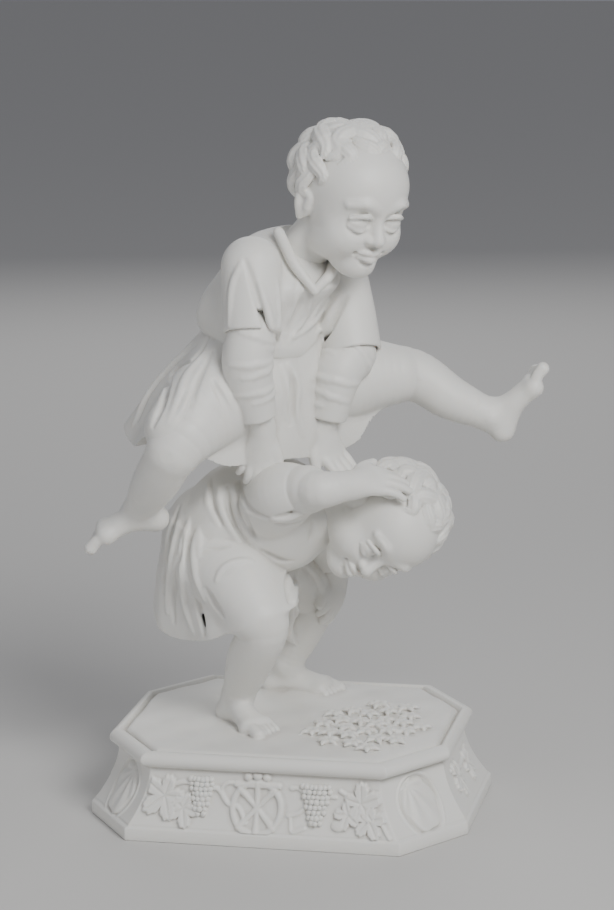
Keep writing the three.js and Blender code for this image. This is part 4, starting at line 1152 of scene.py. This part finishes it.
def plinth_mesh(lift):
    relief = panel_relief(lift)
    rows = []
    for grow, z in ((-3, 0.2), (-3, 0.0), (-0.6, 0.0), (-0.15, 0.15), (0, 0.6), (0, 5.6), (-0.25, 6.2), (-0.9, 6.5)):
        rows.append(ring_row(grown(SLAB, grow), z))
    for z in np.linspace(7.0, 33.0, 62):
        rows.append(ring_row(between(NECK, PANEL_FOOT, sweep(z)), z, relief))
    for degrees in range(-80, 101, 12):
        a = math.radians(degrees)
        bulge = 3.7 * math.cos(a) / (RIM["x"] - NECK["x"]) * 0.98
        rows.append(ring_row(between(NECK, RIM, bulge), 37.4 + 3.7 * math.sin(a)))
    for grow, z in ((-0.9, 40.7), (-1.5, 39.9), (-1.9, 39.0), (-2.6, 38.6), (-5.0, 38.4)):
        rows.append(ring_row(grown(NECK, grow), z))
    count = len(rows[0])
    points = np.vstack(rows + [[vec(0, 0, 38.4)], [vec(0, 0, 0.2)]])
    faces = []
    i, j = np.meshgrid(np.arange(len(rows) - 1), np.arange(count), indexing="ij")
    a, b = (i * count + j).ravel(), (i * count + (j + 1) % count).ravel()
    faces = [np.c_[a, b, b + count], np.c_[a, b + count, a + count]]
    j = np.arange(count)
    k = (j + 1) % count
    top = (len(rows) - 1) * count
    faces.append(np.c_[j + top, k + top, np.full(count, len(points) - 2)])
    faces.append(np.c_[k, j, np.full(count, len(points) - 1)])
    return points, np.vstack(faces)


def bunch_points():
    """Where the berries sit: rows that narrow to the tip, fuller in the middle. Also each berry's size."""
    places, sizes = [], []
    chance = np.random.RandomState(4)
    for panel, bunches in BUNCHES.items():
        for bs, bz, wide, high in bunches:
            rows = 8
            for row in range(rows):
                fall = row / (rows - 1)
                z = bz + high / 2 - 1.2 - fall * (high - 2.6)
                half = wide / 2 * (1 - 0.6 * fall ** 1.4) - 0.9
                number = max(1, int(round(half * 2 / 2.15)) + 1)
                for k in range(number):
                    w = 0 if number == 1 else 2 * k / (number - 1) - 1
                    s = bs + half * w + (0.5 if row % 2 else -0.5) * 0.6 + 0.3 * (chance.rand() - 0.5)
                    outline = between(NECK, PANEL_FOOT, float(sweep(z)))
                    c = corners(outline)
                    a, b = c[panel], c[(panel + 1) % 8]
                    along = unit(b - a)
                    out = vec(along[1], -along[0])
                    stand = 0.9 + 1.0 * (1 - w * w) + 0.2 * chance.rand()
                    flat = (a + b) / 2 + along * s + out * stand
                    places.append((flat[0], flat[1], z + 0.2 * (chance.rand() - 0.5)))
                    sizes.append(0.9 + 0.25 * chance.rand())
    return np.array(places), np.array(sizes)


def berry_tree(material):
    """Nodes that set one berry on each point."""
    tree = bpy.data.node_groups.new("berries", "GeometryNodeTree")
    face_in = tree.interface
    face_in.new_socket("Geometry", in_out="INPUT", socket_type="NodeSocketGeometry")
    radius = face_in.new_socket("Berry Radius", in_out="INPUT", socket_type="NodeSocketFloat")
    radius.subtype = "DISTANCE"
    radius.default_value = 1.35 * MM
    spread = face_in.new_socket("Size Spread", in_out="INPUT", socket_type="NodeSocketFloat")
    spread.default_value = 0.08
    seed = face_in.new_socket("Seed", in_out="INPUT", socket_type="NodeSocketInt")
    seed.default_value = 3
    face_in.new_socket("Geometry", in_out="OUTPUT", socket_type="NodeSocketGeometry")
    new = tree.nodes.new
    link = tree.links.new
    given = new("NodeGroupInput")
    result = new("NodeGroupOutput")
    berry = new("GeometryNodeMeshIcoSphere")
    berry.inputs["Subdivisions"].default_value = 3
    link(given.outputs["Berry Radius"], berry.inputs["Radius"])
    size = new("GeometryNodeInputNamedAttribute")
    size.data_type = "FLOAT"
    size.inputs["Name"].default_value = "size"
    low = new("ShaderNodeMath")
    low.operation = "SUBTRACT"
    low.inputs[0].default_value = 1.0
    link(given.outputs["Size Spread"], low.inputs[1])
    high = new("ShaderNodeMath")
    high.operation = "ADD"
    high.inputs[0].default_value = 1.0
    link(given.outputs["Size Spread"], high.inputs[1])
    chance = new("FunctionNodeRandomValue")
    chance.data_type = "FLOAT"
    link(low.outputs[0], chance.inputs[2])
    link(high.outputs[0], chance.inputs[3])
    link(given.outputs["Seed"], chance.inputs["Seed"])
    product = new("ShaderNodeMath")
    product.operation = "MULTIPLY"
    link(size.outputs["Attribute"], product.inputs[0])
    link(chance.outputs[1], product.inputs[1])
    place = new("GeometryNodeInstanceOnPoints")
    link(given.outputs["Geometry"], place.inputs["Points"])
    link(berry.outputs["Mesh"], place.inputs["Instance"])
    link(product.outputs[0], place.inputs["Scale"])
    real = new("GeometryNodeRealizeInstances")
    link(place.outputs["Instances"], real.inputs["Geometry"])
    finish = new("GeometryNodeSetMaterial")
    finish.inputs["Material"].default_value = material
    link(real.outputs["Geometry"], finish.inputs["Geometry"])
    link(finish.outputs["Geometry"], result.inputs["Geometry"])
    return tree


# Finish, with shade painted into the hollows


def bisque_material(props):
    material = bpy.data.materials.get("bisque with painted shade")
    if material:
        return material
    material = bpy.data.materials.new("bisque with painted shade")
    material.use_nodes = True
    tree = material.node_tree
    tree.nodes.clear()
    new, link = tree.nodes.new, tree.links.new
    output = new("ShaderNodeOutputMaterial")
    shader = new("ShaderNodeBsdfPrincipled")
    link(shader.outputs["BSDF"], output.inputs["Surface"])
    shader.inputs["IOR"].default_value = 1.5
    shader.inputs["Subsurface Weight"].default_value = 0.25
    shader.inputs["Subsurface Radius"].default_value = (1.0, 0.85, 0.7)
    shader.inputs["Subsurface Scale"].default_value = 1.5 * MM
    place = new("ShaderNodeTexCoord")
    # Painted shade: where the hollow attribute finds a hollow, the base colour darkens towards the painted shade
    # colour, standing in for the shade that falls there.
    hollow = new("ShaderNodeAttribute")
    hollow.attribute_name = "hollow"
    depth = new("ShaderNodeMapRange")
    depth.inputs["From Min"].default_value = 0.05
    depth.inputs["From Max"].default_value = 0.9
    link(hollow.outputs["Fac"], depth.inputs["Value"])
    painted_shade_mix = new("ShaderNodeMix")
    painted_shade_mix.data_type = "RGBA"
    painted_shade_mix.inputs["A"].default_value = (*props.colour, 1.0)
    painted_shade_mix.inputs["B"].default_value = (*props.painted_shade_colour, 1.0)
    link(depth.outputs["Result"], painted_shade_mix.inputs["Factor"])
    link(painted_shade_mix.outputs["Result"], shader.inputs["Base Color"])
    grain = new("ShaderNodeTexNoise")
    grain.inputs["Scale"].default_value = 900.0
    grain.inputs["Detail"].default_value = 3.0
    link(place.outputs["Object"], grain.inputs["Vector"])
    rough = new("ShaderNodeMapRange")
    rough.inputs["To Min"].default_value = props.roughness - 0.06
    rough.inputs["To Max"].default_value = props.roughness + 0.06
    link(grain.outputs["Fac"], rough.inputs["Value"])
    link(rough.outputs["Result"], shader.inputs["Roughness"])
    bump = new("ShaderNodeBump")
    bump.inputs["Strength"].default_value = 0.12
    bump.inputs["Distance"].default_value = 0.05 * MM
    link(grain.outputs["Fac"], bump.inputs["Height"])
    link(bump.outputs["Normal"], shader.inputs["Normal"])
    return material


def plain_material(name, colour, roughness):
    material = bpy.data.materials.new(name)
    material.use_nodes = True
    shader = material.node_tree.nodes["Principled BSDF"]
    shader.inputs["Base Color"].default_value = (*colour, 1.0)
    shader.inputs["Roughness"].default_value = roughness
    return material


# Settings, operators and panel


class LeapfrogSettings(bpy.types.PropertyGroup):
    cell: bpy.props.FloatProperty(
        name="Clay Fineness", description="Spacing of the modelling lattice, in millimetres",
        default=0.55, min=0.3, max=2.0)
    head_cell: bpy.props.FloatProperty(
        name="Head Fineness", description="Spacing of the modelling lattice for the heads, in millimetres",
        default=0.42, min=0.25, max=2.0)
    budget: bpy.props.IntProperty(
        name="Triangle Budget", description="Most triangles in one modelled piece", default=190000, min=5000)
    fold: bpy.props.FloatProperty(
        name="Fold Depth", description="Depth of the cloth folds against the modelled depth",
        default=1.0, min=0.0, max=2.0, subtype="FACTOR")
    lift: bpy.props.FloatProperty(
        name="Relief Lift", description="Height of the plinth's relief against the modelled height",
        default=1.0, min=0.0, max=1.5, subtype="FACTOR")
    berry: bpy.props.FloatProperty(
        name="Berry Radius", description="Radius of one berry of the vine",
        default=1.35 * MM, min=0.0005, max=0.003, unit="LENGTH")
    colour: bpy.props.FloatVectorProperty(
        name="Bisque Colour", description="Colour of the bare porcelain", size=3, subtype="COLOR",
        default=(0.80, 0.79, 0.75), min=0.0, max=1.0)
    # Painted shade: the darker colour the hollows are painted with, standing in for shade.
    painted_shade_colour: bpy.props.FloatVectorProperty(
        name="Painted Shade Colour", description="Shade painted into the hollows", size=3, subtype="COLOR",
        default=(0.60, 0.575, 0.53), min=0.0, max=1.0)
    roughness: bpy.props.FloatProperty(
        name="Roughness", description="Roughness of the bare porcelain", default=0.5, min=0.1, max=0.9,
        subtype="FACTOR")


def settings():
    return bpy.context.scene.leapfrog


def cell_size(value):
    return value


class LEAPFROG_OT_leaping_child(bpy.types.Operator):
    """Models the leaping child"""

    bl_idname = "leapfrog.leaping_child"
    bl_label = "Leaping Child"

    def execute(self, context):
        s = settings()
        material = bisque_material(s)
        cast("leaping_child", leaping_body(cell_size(s.cell), s.fold), s.budget, material)
        cast("leaping_head", leaping_head(cell_size(s.head_cell)), s.budget * 3 // 4, material)
        return {"FINISHED"}


class LEAPFROG_OT_bending_child(bpy.types.Operator):
    """Models the bending child and the lawn"""

    bl_idname = "leapfrog.bending_child"
    bl_label = "Bending Child"

    def execute(self, context):
        s = settings()
        material = bisque_material(s)
        cast("bending_child", bending_body(cell_size(s.cell), s.fold), s.budget, material)
        cast("bending_head", bending_head(cell_size(s.head_cell)), s.budget * 3 // 4, material)
        return {"FINISHED"}


class LEAPFROG_OT_plinth(bpy.types.Operator):
    """Models the octagonal plinth and its relief"""

    bl_idname = "leapfrog.plinth"
    bl_label = "Plinth"

    def execute(self, context):
        s = settings()
        points, faces = plinth_mesh(s.lift)
        mesh = reduce(new_mesh("plinth", points, faces), s.budget)
        finish_piece("plinth", mesh, bisque_material(s))
        return {"FINISHED"}


class LEAPFROG_OT_berries(bpy.types.Operator):
    """Sets the berries of the vine"""

    bl_idname = "leapfrog.berries"
    bl_label = "Berries"

    def execute(self, context):
        s = settings()
        material = bisque_material(s)
        places, sizes = bunch_points()
        cloud = bpy.data.meshes.new("berry places")
        cloud.from_pydata((places * MM).tolist(), [], [])
        layer = cloud.attributes.new("size", "FLOAT", "POINT")
        layer.data.foreach_set("value", sizes.astype(np.float32))
        worker = bpy.data.objects.new("berry places", cloud)
        context.scene.collection.objects.link(worker)
        tree = berry_tree(material)
        modifier = worker.modifiers.new("berries", "NODES")
        modifier.node_group = tree
        names = {item.name: item.identifier for item in tree.interface.items_tree if item.in_out == "INPUT"}
        modifier[names["Berry Radius"]] = s.berry
        modifier[names["Seed"]] = 3
        graph = context.evaluated_depsgraph_get()
        mesh = bpy.data.meshes.new_from_object(worker.evaluated_get(graph))
        bpy.data.objects.remove(worker)
        bpy.data.meshes.remove(cloud)
        finish_piece("berries", mesh, material)
        return {"FINISHED"}


class LEAPFROG_OT_stage(bpy.types.Operator):
    """Sets the floor, the lights and the camera"""

    bl_idname = "leapfrog.stage"
    bl_label = "Stage"

    def execute(self, context):
        scene = context.scene
        bpy.ops.mesh.primitive_plane_add(size=12, location=(0, 0, 0))
        floor = context.object
        floor.name = "floor"
        floor.data.materials.append(plain_material("pale floor", (0.62, 0.61, 0.59), 0.8))

        def area(name, place, size, power, colour=(1, 1, 1)):
            data = bpy.data.lights.new(name, "AREA")
            data.size = size
            data.energy = power
            data.color = colour
            lamp = bpy.data.objects.new(name, data)
            lamp.location = place
            aim = vec(0, 0, 0.18) - vec(*place)
            z = -unit(aim)
            x = unit(np.cross(vec(0, 0, 1), z))
            y = np.cross(z, x)
            lamp.matrix_world = Matrix([[x[i], y[i], z[i], place[i]] for i in range(3)] + [[0, 0, 0, 1]])
            scene.collection.objects.link(lamp)

        area("key", (0.75, -0.85, 0.95), 0.55, 16.0)
        area("fill", (-1.1, -0.9, 0.5), 1.2, 4.0)
        area("back", (-0.3, 1.3, 0.9), 1.0, 5.0)
        world = bpy.data.worlds.new("studio")
        world.use_nodes = True
        world.node_tree.nodes["Background"].inputs["Color"].default_value = (0.9, 0.92, 1.0, 1)
        world.node_tree.nodes["Background"].inputs["Strength"].default_value = 0.25
        scene.world = world
        lens = bpy.data.cameras.new("front view")
        lens.sensor_fit = "VERTICAL"
        lens.sensor_height = 36.0
        lens.lens = VIEW["focal"] / PICTURE[1] * 36.0
        camera = bpy.data.objects.new("front view", lens)
        rows = [[EYE.right[i], EYE.up[i], EYE.back[i], EYE.place[i] * MM] for i in range(3)]
        camera.matrix_world = Matrix(rows + [[0, 0, 0, 1]])
        scene.collection.objects.link(camera)
        scene.camera = camera
        return {"FINISHED"}


class LEAPFROG_PT_panel(bpy.types.Panel):
    """The settings and the pieces of the group"""

    bl_label = "Leapfrog Group"
    bl_idname = "LEAPFROG_PT_panel"
    bl_space_type = "VIEW_3D"
    bl_region_type = "UI"
    bl_category = "Leapfrog"

    def draw(self, context):
        for name in LeapfrogSettings.__annotations__:
            self.layout.prop(context.scene.leapfrog, name)
        for operator in OPERATORS:
            self.layout.operator(operator.bl_idname)


OPERATORS = (
    LEAPFROG_OT_leaping_child,
    LEAPFROG_OT_bending_child,
    LEAPFROG_OT_plinth,
    LEAPFROG_OT_berries,
    LEAPFROG_OT_stage,
)
CLASSES = (LeapfrogSettings, *OPERATORS, LEAPFROG_PT_panel)


def register():
    for item in CLASSES:
        bpy.utils.register_class(item)
    bpy.types.Scene.leapfrog = bpy.props.PointerProperty(type=LeapfrogSettings)


def unregister():
    del bpy.types.Scene.leapfrog
    for item in reversed(CLASSES):
        bpy.utils.unregister_class(item)


def main():
    register()
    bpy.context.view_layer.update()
    bpy.ops.leapfrog.leaping_child()
    bpy.ops.leapfrog.bending_child()
    bpy.ops.leapfrog.plinth()
    bpy.ops.leapfrog.berries()
    bpy.ops.leapfrog.stage()


if __name__ == "__main__":
    main()
